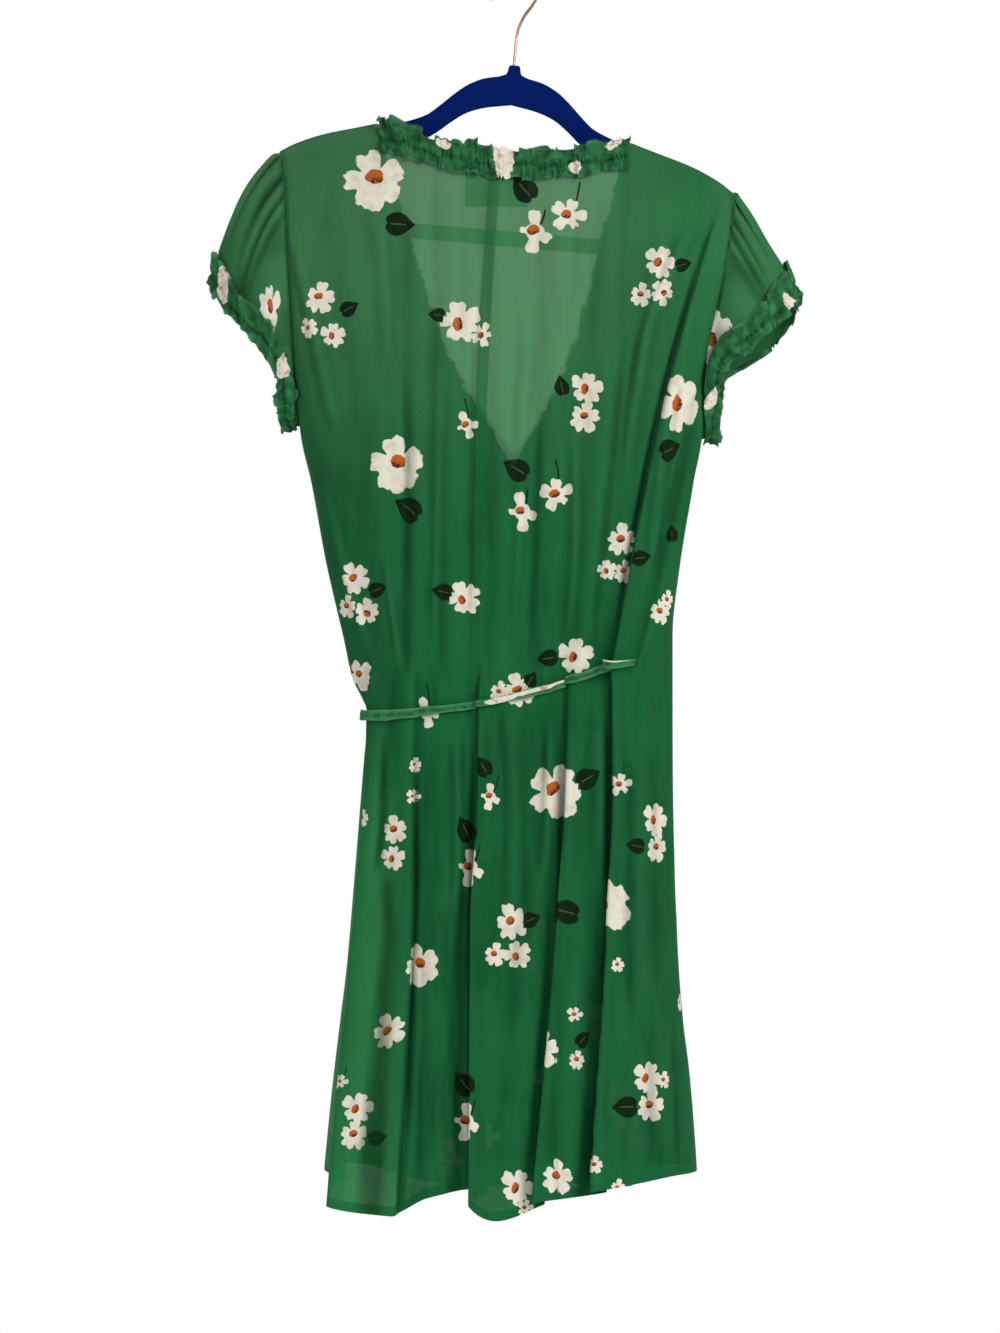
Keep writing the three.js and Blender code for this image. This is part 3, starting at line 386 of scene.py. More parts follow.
# The hanging form of the cloth
@dataclass
class DressForm:
    """Where the cloth of the dress hangs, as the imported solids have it, with finer creases."""

    tilt: float = math.radians(5)  # the hanger's right arm hangs lower
    arch_top: float = -92.9
    shoulder_rest: float = 3.9
    shoulder_turn: float = 2.4
    shoulder_round: float = 70
    arm_clear: float = 4.25
    neck_left: float = -119
    neck_right: float = 101
    neck_sag: float = 18
    neck_stand: float = 14
    neck_blend: float = 30
    armhole_half: float = 24
    left_tip: float = -160
    left_under: float = -396
    right_tip: float = -194
    right_under: float = -408
    waist_side: float = -603
    waist_dip: float = 10
    wrap_space: float = 3.6
    side_fade: float = 0.12
    top_fade: float = 60
    crinkle_height: float = 0.42
    depth: float = 1.08  # of the long folds, against the solids'
    crease_depth: float = 1.5
    rings: Table = field(default_factory=lambda: Table(RINGS))
    arm: Table = field(default_factory=lambda: Table(ARM))
    hem: Table = field(default_factory=lambda: Table(HEM))
    seams: Table = field(default_factory=lambda: Table(BACK_SEAMS))
    wraps: Table = field(default_factory=lambda: Table(WRAP_EDGES))
    fine: Crinkle = field(default_factory=lambda: Crinkle(SEED, 11, 90))
    soft: Crinkle = field(default_factory=lambda: Crinkle(SEED + 1, 42, 150))

    def arm_top(self, x: np.ndarray) -> np.ndarray:
        """Height of the tilted hanger's arm under places across the shoulders."""
        sin, cos = math.sin(self.tilt), math.cos(self.tilt)
        out = x
        for _ in range(4):
            out = (x + self.arm.column(np.abs(out), "drop") * sin) / cos
        return self.arch_top - self.arm.column(np.abs(out), "drop") * cos - out * sin

    def cloth_top(self, x: np.ndarray) -> np.ndarray:
        """Height of the shoulder seams and of the back neckline between them."""
        ends = self.arm_top(np.array([self.neck_left, self.neck_right]))
        t = (x - self.neck_left) / (self.neck_right - self.neck_left)
        neck = mix(ends[0], ends[1], t) + self.shoulder_rest - self.neck_sag * 4 * t * (1 - t)
        return np.where((t > 0) & (t < 1), neck, self.arm_top(x) + self.shoulder_rest)

    def waist(self, x: np.ndarray) -> np.ndarray:
        """Height of the waist seam."""
        return self.waist_side - self.waist_dip * np.maximum(0, 1 - (x / 140) ** 2)

    def ring(self, z: np.ndarray) -> tuple:
        """Centre, half width, back depth and front depth of the body at a height."""
        left, right, back, front = (self.rings.column(z, name) for name in ("left", "right", "back", "front"))
        return (left + right) / 2, (right - left) / 2, back, front

    def across(self, share: np.ndarray, z: np.ndarray) -> np.ndarray:
        """Place across the body of a share, which runs from -1 at the left seam to 1 at the right."""
        centre, half, _, _ = self.ring(z)
        return centre + half * (1.5 * share - 0.5 * share**3)

    def share_at(self, x: np.ndarray, z: np.ndarray) -> np.ndarray:
        """Share of a place across the body."""
        centre, half, _, _ = self.ring(z)
        return 2 * np.sin(np.arcsin(np.clip((x - centre) / half, -1, 1)) / 3)

    def armhole_edge(self, share: np.ndarray, z: np.ndarray) -> np.ndarray:
        """How far the armhole's edge stands from the plane of the seams."""
        tip = np.where(share < 0, self.left_tip, self.right_tip)
        under = np.where(share < 0, self.left_under, self.right_under)
        middle, half = (tip + under) / 2, (tip - under) / 2
        return self.armhole_half * np.sqrt(np.maximum(0, 1 - ((z - middle) / half) ** 2))

    @staticmethod
    def fold_sum(folds: Sequence[Fold], span: tuple, x: np.ndarray, z: np.ndarray) -> tuple:
        """Sums the folds of a table.

        Args:
            folds: The folds.
            span: Heights of their top, middle and low ends.
            x: Places across.
            z: Heights.

        Returns:
            How far they stand out, and how far they lean to the left.
        """
        top, _, bottom = span
        low = np.clip((top - z) / (top - bottom), 0, 1)
        height, lean = np.zeros(x.shape), np.zeros(x.shape)
        for fold in folds:
            places = (fold.x_top, fold.x_mid, fold.x_low)
            line = Table([LinePoint(*point) for point in zip(span, places)])
            off = x - line.column(z, "x")
            reach = np.clip(np.abs(off) / np.where(off < 0, fold.rise, fold.run), 0, 1)
            stands = mix(fold.top, fold.low, low) * 0.5 * (1 + np.cos(np.pi * reach))
            height += stands
            lean += fold.lean * stands
        return height, lean

    @staticmethod
    def crease_sum(creases: Sequence[Crease], x: np.ndarray, z: np.ndarray) -> tuple:
        """Sums the listed creases, as fold_sum does."""
        height, lean = np.zeros(x.shape), np.zeros(x.shape)
        for c in creases:
            ends = LinePoint(c.z_top, c.x_top), LinePoint(c.z_low, c.x_low)
            line = Table((ends[0], LinePoint(c.z_mid, c.x_mid), ends[1]))
            off = x - line.column(z, "x")
            reach = np.clip(np.abs(off) / np.where(off < 0, c.rise, c.run), 0, 1)
            down = (c.z_top - z) / (c.z_top - c.z_low)
            fade = ease(down / 0.3) * ease((1 - down) / 0.25)
            stands = c.height * fade * 0.5 * (1 + np.cos(np.pi * reach))
            height += stands
            lean += c.lean * stands
        return height, lean

    def folds(self, side: int, x: np.ndarray, z: np.ndarray) -> tuple:
        """Height and lean of all the folds of one side."""
        bodice, skirt = (BODICE_BACK, SKIRT_BACK) if side < 0 else (BODICE_FRONT, SKIRT_FRONT)
        upper = self.fold_sum(bodice, (-200, -404, -616), x, z)
        lower = self.fold_sum(skirt, (-616, -800, -1065), x, z)
        share = ease((self.waist(x) + 16 - z) / 32)
        deep = self.depth * (1 + 0.22 * ease((-700 - z) / 120))
        fine = self.crease_sum(BACK_CREASES if side < 0 else FRONT_CREASES, x, z)
        rough = self.crinkle_height * (self.fine.at(x, z) * mix(0.25, 0.5, share) + self.soft.at(x, z))
        height = deep * mix(upper[0], lower[0], share) + self.crease_depth * fine[0] + rough
        return height, deep * deep * mix(upper[1], lower[1], share) + self.crease_depth * fine[1]

    def base(self, layer: Layer, share: np.ndarray, z: np.ndarray) -> np.ndarray:
        """Points of the middle of a layer's cloth, before it is lifted."""
        side = layer.side
        centre, half, back, front = self.ring(z)
        depth = back if side < 0 else front
        x = centre + half * (1.5 * share - 0.5 * share**3)
        edge = self.armhole_edge(share, z)
        below = self.cloth_top(x) - z
        bend = np.sqrt(np.maximum(0, 1 - (1 - np.clip(below / self.shoulder_round, 0, 1)) ** 2))
        inside = np.minimum(x - self.neck_left, self.neck_right - x)
        stand = self.neck_stand * ease(inside / self.neck_blend)
        below_arm = self.arm_top(x) + self.shoulder_rest - z
        over = self.arm_clear * np.clip(below_arm / self.shoulder_turn, 0, 1) * (1 - ease((below - 14) / 14))
        y = np.maximum(stand + (edge + (depth - edge) * (1 - share**4) - stand) * bend, over)
        run_x = half * 1.5 * (1 - share**2) + 0.01
        run_y = -4 * share**3 * (depth - edge) * bend
        run = np.hypot(run_x, run_y)
        fade = ease((1 - np.abs(share)) / self.side_fade) * ease(below / self.top_fade)
        if layer is Layer.FRONT_LEFT:
            fade = fade * (1 - ease((x - self.wraps.column(z, "right") + 16) / 14))
        height, lean = self.folds(side, x, z)
        out, left = height * fade / run, lean * fade / run
        deep = side * (y + run_x * out - run_y * left)
        return np.stack([x - run_y * out - run_x * left, deep, z + 0 * x], -1)

    def normal(self, layer: Layer, share: np.ndarray, z: np.ndarray) -> np.ndarray:
        """Outward normals of a layer."""
        step = np.where(share > 0, -0.004, 0.004)
        here = self.base(layer, share, z)
        sideways = (self.base(layer, share + step, z) - here) * np.sign(step)[..., None]
        up = here - self.base(layer, share, z - 0.6)
        found = -layer.side * unit(np.cross(sideways, up))
        flat = np.abs(here[..., 1]) < 0.02
        found[flat, 1] = 0
        return unit(found)

    def cloth(self, layer: Layer, share: np.ndarray, z: np.ndarray, lift: np.ndarray = 0.0) -> np.ndarray:
        """Points of a layer's cloth, lifted out from its middle by a distance."""
        _, way, seam = layer.value
        wrap = way * self.wrap_space / 2 * ease(np.abs(share - seam) / 0.35) * ease((-200 - z) / 150)
        return self.base(layer, share, z) + self.normal(layer, share, z) * np.asarray(lift + wrap)[..., None]


def unit(vectors: np.ndarray) -> np.ndarray:
    """Gives vectors a length of one."""
    return vectors / np.maximum(np.linalg.norm(vectors, axis=-1, keepdims=True), 1e-9)


def grid_normals(points: np.ndarray) -> np.ndarray:
    """Normals of a grid of points, across its columns crossed with down its rows."""
    return unit(np.cross(np.gradient(points, axis=1), np.gradient(points, axis=0)))


def lengths_across(points: np.ndarray) -> np.ndarray:
    """Distance along each row of a grid from its first column."""
    step = np.linalg.norm(np.diff(points, axis=1), axis=-1)
    return np.concatenate([np.zeros((len(points), 1)), np.cumsum(step, axis=1)], axis=1)


def relief_of(height: np.ndarray, step: float, reach: float = 13.0, full: float = 1.7) -> tuple:
    """Masks of a grid of cloth for painted shade in its hollows and a painted highlight on its ridges, each from 0 to
    1.

    Args:
        height: How far each point stands out.
        step: Distance between columns.
        reach: Width over which a point is compared with its neighbours.
        full: Height above or below them that counts as 1.

    Returns:
        The hollows and the ridges.
    """
    half = max(2, int(reach / step / 2))
    padded = np.concatenate([height[:, :1]] * half + [height] + [height[:, -1:]] * half, axis=1)
    sums = np.cumsum(np.concatenate([np.zeros((len(height), 1)), padded], axis=1), axis=1)
    mean = (sums[:, 2 * half + 1 :] - sums[:, : -2 * half - 1]) / (2 * half + 1)
    off = (height - mean) / full
    return np.clip(-off, 0, 1), np.clip(off, 0, 1)


def area_of(points: np.ndarray) -> float:
    """Area of a grid of points, in its own unit squared."""
    across, down = np.diff(points, axis=1)[:-1], np.diff(points, axis=0)[:, :-1]
    return float(np.linalg.norm(np.cross(across, down), axis=-1).sum())


def wall(name: str, points: np.ndarray, thick: float, ring: bool = False, normals: Optional[np.ndarray] = None,
         corners: Optional[np.ndarray] = None, verts: Optional[dict] = None) -> bpy.types.Object:
    """Makes a closed thin wall about a grid of points.

    Args:
        name: The object's name.
        points: The grid, rows by columns by three, in millimetres.
        thick: The wall's thickness in millimetres.
        ring: Whether its columns close on themselves.
        normals: Normals of the grid, worked out from it if left out.
        corners: For each quad of the grid and each of its corners, the place in its print motif.
        verts: Vector attributes for each point of the grid, by name.

    Returns:
        The object.
    """
    rows, cols = points.shape[:2]
    if normals is None:
        padded = np.concatenate([points[:, -1:], points, points[:, :1]], axis=1) if ring else points
        normals = grid_normals(padded)[:, 1:-1] if ring else grid_normals(padded)
    outer = points + normals * thick / 2
    inner = points - normals * thick / 2
    index = np.arange(rows * cols).reshape(rows, cols)
    next_col = np.roll(index, -1, axis=1) if ring else index[:, 1:]
    here = index if ring else index[:, :-1]
    a, b, c, d = here[:-1], next_col[:-1], next_col[1:], here[1:]
    face = np.stack([a, b, c, d], -1).reshape(-1, 4)
    count = rows * cols
    rims = []
    for row, flip in ((0, False), (rows - 1, True)):
        p, q = here[row], next_col[row]
        rims.append(np.stack([p, q, q + count, p + count], -1)[:, :: -1 if not flip else 1])
    if not ring:
        for col, flip in ((0, True), (cols - 1, False)):
            p, q = index[:-1, col], index[1:, col]
            rims.append(np.stack([p, q, q + count, p + count], -1)[:, :: -1 if not flip else 1])
    faces = np.concatenate([face, face[:, ::-1] + count, *rims])
    mesh = bpy.data.meshes.new(name)
    coords = np.concatenate([outer.reshape(-1, 3), inner.reshape(-1, 3)]) * MM
    mesh.from_pydata(coords.tolist(), [], faces.tolist())
    if corners is not None:
        values = np.zeros((len(faces), 4, 3), np.float32)
        quads = corners.reshape(-1, 4, 3)
        values[: len(quads)] = quads
        values[len(quads) : 2 * len(quads)] = quads[:, ::-1]
        values[2 * len(quads) :, :, 0] = 9.0
        mesh.attributes.new("motif", "FLOAT_VECTOR", "CORNER").data.foreach_set("vector", values.ravel())
    for key, value in (verts or {}).items():
        both = np.concatenate([value.reshape(-1, 3)] * 2).astype(np.float32)
        mesh.attributes.new(key, "FLOAT_VECTOR", "POINT").data.foreach_set("vector", both.ravel())
    rim = np.zeros((rows, cols), bool)
    rim[0] = rim[-1] = True
    if not ring:
        rim[:, 0] = rim[:, -1] = True
    rim = np.concatenate([rim.ravel()] * 2)
    edges = np.zeros(len(mesh.edges) * 2, np.int32)
    mesh.edges.foreach_get("vertices", edges)
    edges = edges.reshape(-1, 2)
    sharp = rim[edges].all(1) & ((edges[:, 0] < count) == (edges[:, 1] < count))
    mesh.attributes.new("sharp_edge", "BOOLEAN", "EDGE").data.foreach_set("value", sharp)
    return placed(name, mesh)


def placed(name: str, mesh: bpy.types.Mesh) -> bpy.types.Object:
    """Puts a mesh in the scene with smooth faces that point outwards."""
    points = np.zeros(len(mesh.vertices) * 3, np.float32)
    mesh.vertices.foreach_get("co", points)
    mesh.calc_loop_triangles()
    tris = np.zeros(len(mesh.loop_triangles) * 3, np.int32)
    mesh.loop_triangles.foreach_get("vertices", tris)
    a, b, c = np.moveaxis(points.reshape(-1, 3)[tris.reshape(-1, 3)], 1, 0)
    if float((a * np.cross(b, c)).sum()) < 0:
        mesh.flip_normals()
    mesh.shade_smooth()
    thing = bpy.data.objects.new(name, mesh)
    bpy.context.scene.collection.objects.link(thing)
    return thing


# Materials
class Value:
    """A number in a shader, with Python's operators for its Math nodes."""

    def __init__(self, graph: "Graph", socket: bpy.types.NodeSocket) -> None:
        """Wraps an output socket of a graph."""
        self.graph = graph
        self.socket = socket

    def _math(self, operation: str, *values: object) -> "Value":
        """Adds a Math node."""
        return self.graph.node("ShaderNodeMath", {"operation": operation}, dict(enumerate(values)))

    def __add__(self, other: object) -> "Value":
        """self + other."""
        return self._math("ADD", self, other)

    def __mul__(self, other: object) -> "Value":
        """self * other."""
        return self._math("MULTIPLY", self, other)

    def __sub__(self, other: object) -> "Value":
        """self - other."""
        return self._math("SUBTRACT", self, other)

    def __rsub__(self, other: object) -> "Value":
        """other - self."""
        return self._math("SUBTRACT", other, self)

    def __truediv__(self, other: object) -> "Value":
        """self / other."""
        return self._math("DIVIDE", self, other)

    def __abs__(self) -> "Value":
        """The size of self."""
        return self._math("ABSOLUTE", self)

    def larger(self, other: object) -> "Value":
        """The larger of self and other."""
        return self._math("MAXIMUM", self, other)

    def root(self) -> "Value":
        """The square root of self."""
        return self._math("POWER", self, 0.5)

    def turn_from(self, x: "Value") -> "Value":
        """The turn of a place from the X axis, where self is its y, as a share of a full turn."""
        return (self._math("ARCTAN2", self, x) / (2 * math.pi) + 1.0).fraction()

    def fraction(self) -> "Value":
        """What self has past its whole part."""
        return self._math("FRACT", self)

    __radd__ = __add__
    __rmul__ = __mul__

    def above(self, level: float, soft: float) -> "Value":
        """1 where self is above a level and 0 below, with an edge of a softness."""
        ends = {"From Min": level - soft, "From Max": level + soft}
        settings = {"interpolation_type": "SMOOTHSTEP"}
        return self.graph.node("ShaderNodeMapRange", settings, {"Value": self, **ends})

    def below(self, level: object, soft: float) -> "Value":
        """1 where self is below a level, which may be a Value."""
        return (level - self).above(0.0, soft) if isinstance(level, Value) else 1 - self.above(level, soft)


class Graph:
    """The node tree of one material."""

    def __init__(self, name: str) -> None:
        """Makes an empty material of a name."""
        self.material = bpy.data.materials.new(name)
        self.material.use_nodes = True
        self.tree = self.material.node_tree
        self.tree.nodes.clear()

    def node(self, kind: str, settings: dict, inputs: dict, output: object = 0) -> Value:
        """Adds a node.

        Args:
            kind: The node's type.
            settings: Its own settings, set first; stops are a ramp's, and curve a Float Curve's.
            inputs: Values or links of its sockets, by name or number.
            output: The output that is wrapped.

        Returns:
            That output.
        """
        made = self.tree.nodes.new(kind)
        for key, value in settings.items():
            if key == "stops":
                ramp = made.color_ramp.elements
                for n, (place, colour) in enumerate(value):
                    stop = ramp[n] if n < 2 else ramp.new(place)
                    stop.position, stop.color = place, (*colour, 1.0)
            elif key == "curve":
                points = made.mapping.curves[0].points
                for n, (x, y) in enumerate(value):
                    point = points[n] if n < 2 else points.new(x, y)
                    point.location = (x, y)
                made.mapping.update()
            else:
                setattr(made, key, value)
        for key, value in inputs.items():
            socket = made.inputs[key]
            if isinstance(value, Value):
                self.tree.links.new(value.socket, socket)
            else:
                socket.default_value = value
        return Value(self, made.outputs[output])

    def noise(self, where: Value, scale: float, detail: float = 2.0, stretch: tuple = (1, 1, 1)) -> Value:
        """Noise of a scale, stretched along the axes of a vector."""
        place = self.node("ShaderNodeMapping", {}, {"Vector": where, "Scale": stretch})
        return self.node("ShaderNodeTexNoise", {}, {"Vector": place, "Scale": scale, "Detail": detail})

    def mix(self, share: object, start: object, end: object) -> Value:
        """Mixes two colours."""
        settings = {"data_type": "RGBA", "clamp_factor": True}
        inputs = {0: share, 6: start, 7: end}
        return self.node("ShaderNodeMix", settings, inputs, 2)

    def bump(self, height: Value, strength: float, distance: float) -> Value:
        """A bumped normal, with a distance in metres."""
        inputs = {"Strength": strength, "Distance": distance, "Height": height}
        return self.node("ShaderNodeBump", {}, inputs, "Normal")

    def finish(self, **inputs: object) -> bpy.types.Material:
        """Ends the tree in a Principled shader with these inputs; underscores stand for spaces."""
        named = {key.replace("_", " "): value for key, value in inputs.items()}
        surface = self.node("ShaderNodeBsdfPrincipled", {}, named)
        output = self.tree.nodes.new("ShaderNodeOutputMaterial")
        self.tree.links.new(surface.socket, output.inputs["Surface"])
        return self.material


Colour = tuple[float, float, float]


def rgba(colour: Colour) -> tuple:
    """A colour as a socket's value."""
    return (*colour, 1.0)


class Kind(Enum):
    """The motifs of the print."""

    FLOWER = 0
    BLOSSOM = 1
    SIDE = 2
    DROOP = 3
    LEAF = 4


class Petal(NamedTuple):
    """A petal in a flower's outline: where it points in turns, its half width in turns and its length."""

    at: float
    half: float
    length: float
    notch: float = 0.08


PETALS = {
    Kind.FLOWER: (Petal(0.09, 0.125, 0.92, 0.06), Petal(0.33, 0.12, 1.0, 0.09), Petal(0.515, 0.085, 1.08, 0.1),
                  Petal(0.71, 0.15, 1.0, 0.06), Petal(0.905, 0.11, 0.9, 0.05)),
    Kind.BLOSSOM: (Petal(0.02, 0.122, 0.92, 0.12), Petal(0.22, 0.1, 1.02, 0.05), Petal(0.42, 0.112, 0.86, 0.1),
                   Petal(0.62, 0.128, 1.0, 0.18), Petal(0.82, 0.105, 0.98, 0.05)),
    Kind.SIDE: (Petal(0.01, 0.08, 1.0, 0.0), Petal(0.19, 0.1, 0.88, 0.08), Petal(0.39, 0.11, 0.95, 0.1),
                Petal(0.62, 0.1, 0.9, 0.08), Petal(0.85, 0.08, 0.74, 0.08)),
    Kind.DROOP: (Petal(0.25, 0.085, 1.0, 0.0), Petal(0.47, 0.06, 0.7, 0.0), Petal(0.72, 0.09, 1.0, 0.06),
                 Petal(0.92, 0.09, 0.82, 0.05)),
}
HOLLOW = 0.42  # how far from a flower's centre its petals part
LEAF_OUTLINE = ((0.0, 1.0), (0.03, 0.82), (0.08, 0.68), (0.16, 0.62), (0.27, 0.64), (0.38, 0.7), (0.45, 0.72),
                (0.5, 0.58), (0.55, 0.72), (0.62, 0.7), (0.73, 0.64), (0.84, 0.62), (0.92, 0.68), (0.97, 0.82),
                (1.0, 1.0))


def outline(kind: Kind) -> list:
    """A motif's outline: its reach from the centre against the turn, from 0 to 1."""
    if kind is Kind.LEAF:
        return list(LEAF_OUTLINE)
    turns = np.linspace(0, 1, 61)
    reach = np.full(turns.shape, HOLLOW)
    for petal in PETALS[kind]:
        off = np.abs((turns - petal.at + 0.5) % 1.0 - 0.5) / petal.half
        round_tip = np.clip(1 - off**3.2, 0, 1) ** 0.6 * petal.length
        reach = np.maximum(reach, round_tip - petal.notch * np.exp(-((off / 0.22) ** 2)))
    return list(zip(turns.tolist(), reach.tolist()))


@dataclass(frozen=True)
class PrintedChiffon:
    """Thin crinkled green cloth with the flower print, seen through where it lies single."""

    name: str = "printed_chiffon"
    green: Colour = (0.0095, 0.149, 0.045)
    # lighter green of the random streaks, and of the painted highlight on the folds' ridges
    lit_green: Colour = (0.024, 0.19, 0.07)
    dark_green: Colour = (0.005, 0.104, 0.029)
    # painted shade in the hollows of the folds
    deep_green: Colour = (0.0015, 0.035, 0.008)
    # painted light shining through the cloth where it lies single
    glow_green: Colour = (0.042, 0.3, 0.085)
    veil: Colour = (0.085, 0.215, 0.105)  # pale light on the shoulders and sleeves
    petal: Colour = (0.82, 0.78, 0.66)
    petal_shade: Colour = (0.58, 0.52, 0.42)
    core: Colour = (0.5, 0.12, 0.02)
    core_dark: Colour = (0.07, 0.02, 0.008)
    leaf: Colour = (0.004, 0.016, 0.004)
    vein: Colour = (0.06, 0.1, 0.045)
    cover: float = 0.79  # share of the light that one face of the cloth stops
    roughness: float = 0.9

    def build(self) -> bpy.types.Material:
        """Makes the material."""
        g = Graph(self.name)
        place = g.node("ShaderNodeTexCoord", {}, {}, "Object")
        motif = g.node("ShaderNodeAttribute", {"attribute_name": "motif"}, {}, "Vector")
        cloth = g.node("ShaderNodeAttribute", {"attribute_name": "cloth"}, {}, "Vector")
        x, y, kind = (g.node("ShaderNodeSeparateXYZ", {}, {0: motif}, n) for n in range(3))
        high, hem = (g.node("ShaderNodeSeparateXYZ", {}, {0: cloth}, n) for n in (1, 2))
        # painted light by point: a glow from within, shade in the hollows, a highlight on the ridges
        light = g.node("ShaderNodeAttribute", {"attribute_name": "light"}, {}, "Vector")
        glow, hollow_shade, ridge_highlight = (g.node("ShaderNodeSeparateXYZ", {}, {0: light}, n) for n in range(3))
        painted, is_leaf, core, vein, stem = self.paint(g, place, x, y, kind)
        streaks = g.noise(place, 260, 3.0, (1.0, 1.0, 0.06))
        clouds = g.noise(place, 14, 3.0)
        weave = g.noise(place, 1500, 1.0, (1.0, 1.0, 0.5))
        base = g.mix(clouds.above(0.5, 0.28), rgba(self.dark_green), rgba(self.green))
        base = g.mix(streaks.above(0.56, 0.2) * 0.22, base, rgba(self.lit_green))
        # painted light from within
        base = g.mix(glow * 0.75, base, rgba(self.glow_green))
        # painted highlight on the ridges of the folds
        base = g.mix(ridge_highlight * 0.35, base, rgba(self.lit_green))
        # painted pale light high on the cloth: less towards +X where the chest lies away from the window, more on the
        # arm towards -X
        side = g.node("ShaderNodeSeparateXYZ", {}, {0: place}, 0)
        lee = side.above(0.1, 0.06) * side.below(0.18, 0.02)  # the chest away from the window
        lit_arm = side.below(-0.19, 0.02)
        pale_light_share = high.above(-0.34, 0.16) * (0.47 - lee * 0.36 + lit_arm * 0.12)
        base = g.mix(pale_light_share, base, rgba(self.veil))
        brush = g.noise(place, 110, 2.0).above(0.58, 0.14)
        petals = g.mix(brush * 0.5, rgba(self.petal), rgba(self.petal_shade))
        petals = g.mix(core, petals, rgba(self.core))
        under = y.below(0.05, 0.08) * g.noise(place, 420, 1.0).above(0.45, 0.06)
        petals = g.mix(core * under, petals, rgba(self.core_dark))
        leaves = g.mix(vein, rgba(self.leaf), rgba(self.vein))
        colour = g.mix(painted, base, g.mix(is_leaf, petals, leaves))
        colour = g.mix(stem, colour, rgba(self.leaf))
        ink = painted.larger(stem)
        double = hem.below(0.0085, 0.0006)
        shade = g.mix(double * (1 - ink) * 0.5, colour, rgba(self.dark_green))
        # painted shade in the hollows of the folds
        shade = g.mix(hollow_shade * 0.72, shade, rgba(self.deep_green))
        alpha = self.cover + ink * 0.14 + double * 0.1 + high.below(-1.03, 0.006) * 0.09 + (weave - 0.5) * 0.06
        relief = streaks * 0.5 + weave * 0.3 + double * 0.8
        normal = g.bump(relief, 0.3, 0.0005)
        return g.finish(Base_Color=shade, Roughness=self.roughness, Alpha=alpha, Normal=normal,
                        Specular_IOR_Level=0.12)

    def paint(self, g: Graph, place: Value, x: Value, y: Value, kind: Value) -> tuple:
        """Masks of the motif at a place: painted, leaf or not, core, vein and stem."""
        wobble = (g.noise(place, 150, 2.0) - 0.5) * 0.34
        reach = (x * x + y * y).root()
        turn = y.turn_from(x)
        limit: Optional[Value] = None
        for one in Kind:
            edge = g.node("ShaderNodeFloatCurve", {"curve": outline(one)}, {"Value": turn})
            chosen = edge * abs(kind - one.value).below(0.5, 0.01)
            limit = chosen if limit is None else limit + chosen
        is_leaf = kind.above(Kind.LEAF.value - 0.5, 0.01)
        painted = reach.below(limit * (1 + wobble * (1 - is_leaf * 0.6)), 0.02)
        off_x, off_y = x + 0.08, y - 0.1
        core = (off_x * off_x * 0.75 + off_y * off_y * 1.2 + wobble * 0.3).below(0.058, 0.006) * (1 - is_leaf)
        vein = abs(y + wobble * 0.3).below(0.035, 0.01) * x.above(-0.4, 0.05) * x.below(0.45, 0.05)
        has_stem = abs(kind - 2.5).below(0.6, 0.01)
        line = abs(x - 0.12 - y * 0.5 + y * y * 0.13)
        stem = line.below(0.045, 0.012) * y.above(0.35, 0.02) * y.below(1.75, 0.03) * has_stem * (1 - painted)
        return painted, is_leaf, core * painted, vein * painted * is_leaf, stem


@dataclass(frozen=True)
class RuffleChiffon:
    """The same cloth, gathered: closer, with white patches of the print and pale raw edges."""

    name: str = "ruffle_chiffon"
    green: Colour = (0.04, 0.22, 0.08)
    lit_green: Colour = (0.08, 0.31, 0.13)
    dark_green: Colour = (0.012, 0.12, 0.036)
    # painted shade in the pleats
    deep_green: Colour = (0.002, 0.03, 0.009)
    petal: Colour = (0.78, 0.72, 0.62)
    blush: Colour = (0.45, 0.24, 0.2)
    cover: float = 0.94
    bump: float = 0.5

    def build(self) -> bpy.types.Material:
        """Makes the material."""
        g = Graph(self.name)
        place = g.node("ShaderNodeTexCoord", {}, {}, "Object")
        cloth = g.node("ShaderNodeAttribute", {"attribute_name": "cloth"}, {}, "Vector")
        patch, edge, pleat = (g.node("ShaderNodeSeparateXYZ", {}, {0: cloth}, n) for n in range(3))
        clouds = g.noise(place, 150, 3.0)
        grain = g.noise(place, 900, 2.0)
        colour = g.mix(clouds.above(0.47, 0.14), rgba(self.dark_green), rgba(self.green))
        colour = g.mix(edge.below(0.0022, 0.0016) * 0.8, colour, rgba(self.lit_green))
        # painted shade in the pleats, grooves and folds
        colour = g.mix(pleat * 0.62, colour, rgba(self.deep_green))
        white = (patch + (g.noise(place, 210, 2.0) - 0.5) * 0.5).above(0.5, 0.04)
        tinted = g.mix(g.noise(place, 190, 2.0).above(0.6, 0.06) * 0.7, rgba(self.petal), rgba(self.blush))
        colour = g.mix(white, colour, tinted)
        normal = g.bump(grain * 0.6 + g.noise(place, 240, 3.0) * 1.6, self.bump, 0.0012)
        return g.finish(Base_Color=colour, Roughness=0.88, Alpha=self.cover + white * 0.05, Normal=normal,
                        Specular_IOR_Level=0.15)


@dataclass(frozen=True)
class PlainFinish:
    """A finish of one colour with a little unevenness: cloud over millimetres and a fine grain."""

    name: str
    colour: Colour
    darker: Colour
    roughness: float
    grain: float  # scale of the grain, per metre
    relief: float  # height of the grain, in metres
    metal: float = 0.0
    sheen: float = 0.0
    stretch: tuple = (1, 1, 1)
    gloss: float = 0.5

    def build(self) -> bpy.types.Material:
        """Makes the material."""
        g = Graph(self.name)
        place = g.node("ShaderNodeTexCoord", {}, {}, "Object")
        fine = g.noise(place, self.grain, 2.0, self.stretch)
        broad = g.noise(place, 22, 3.0)
        colour = g.mix(broad * 0.5 + fine * 0.5, rgba(self.darker), rgba(self.colour))
        rough = self.roughness + (fine - 0.5) * 0.12
        normal = g.bump(fine, 0.6, self.relief)
        return g.finish(Base_Color=colour, Roughness=rough, Metallic=self.metal, Normal=normal, Sheen_Weight=self.sheen,
                        Sheen_Roughness=0.35, Sheen_Tint=rgba(self.colour),
                        Specular_IOR_Level=self.gloss)


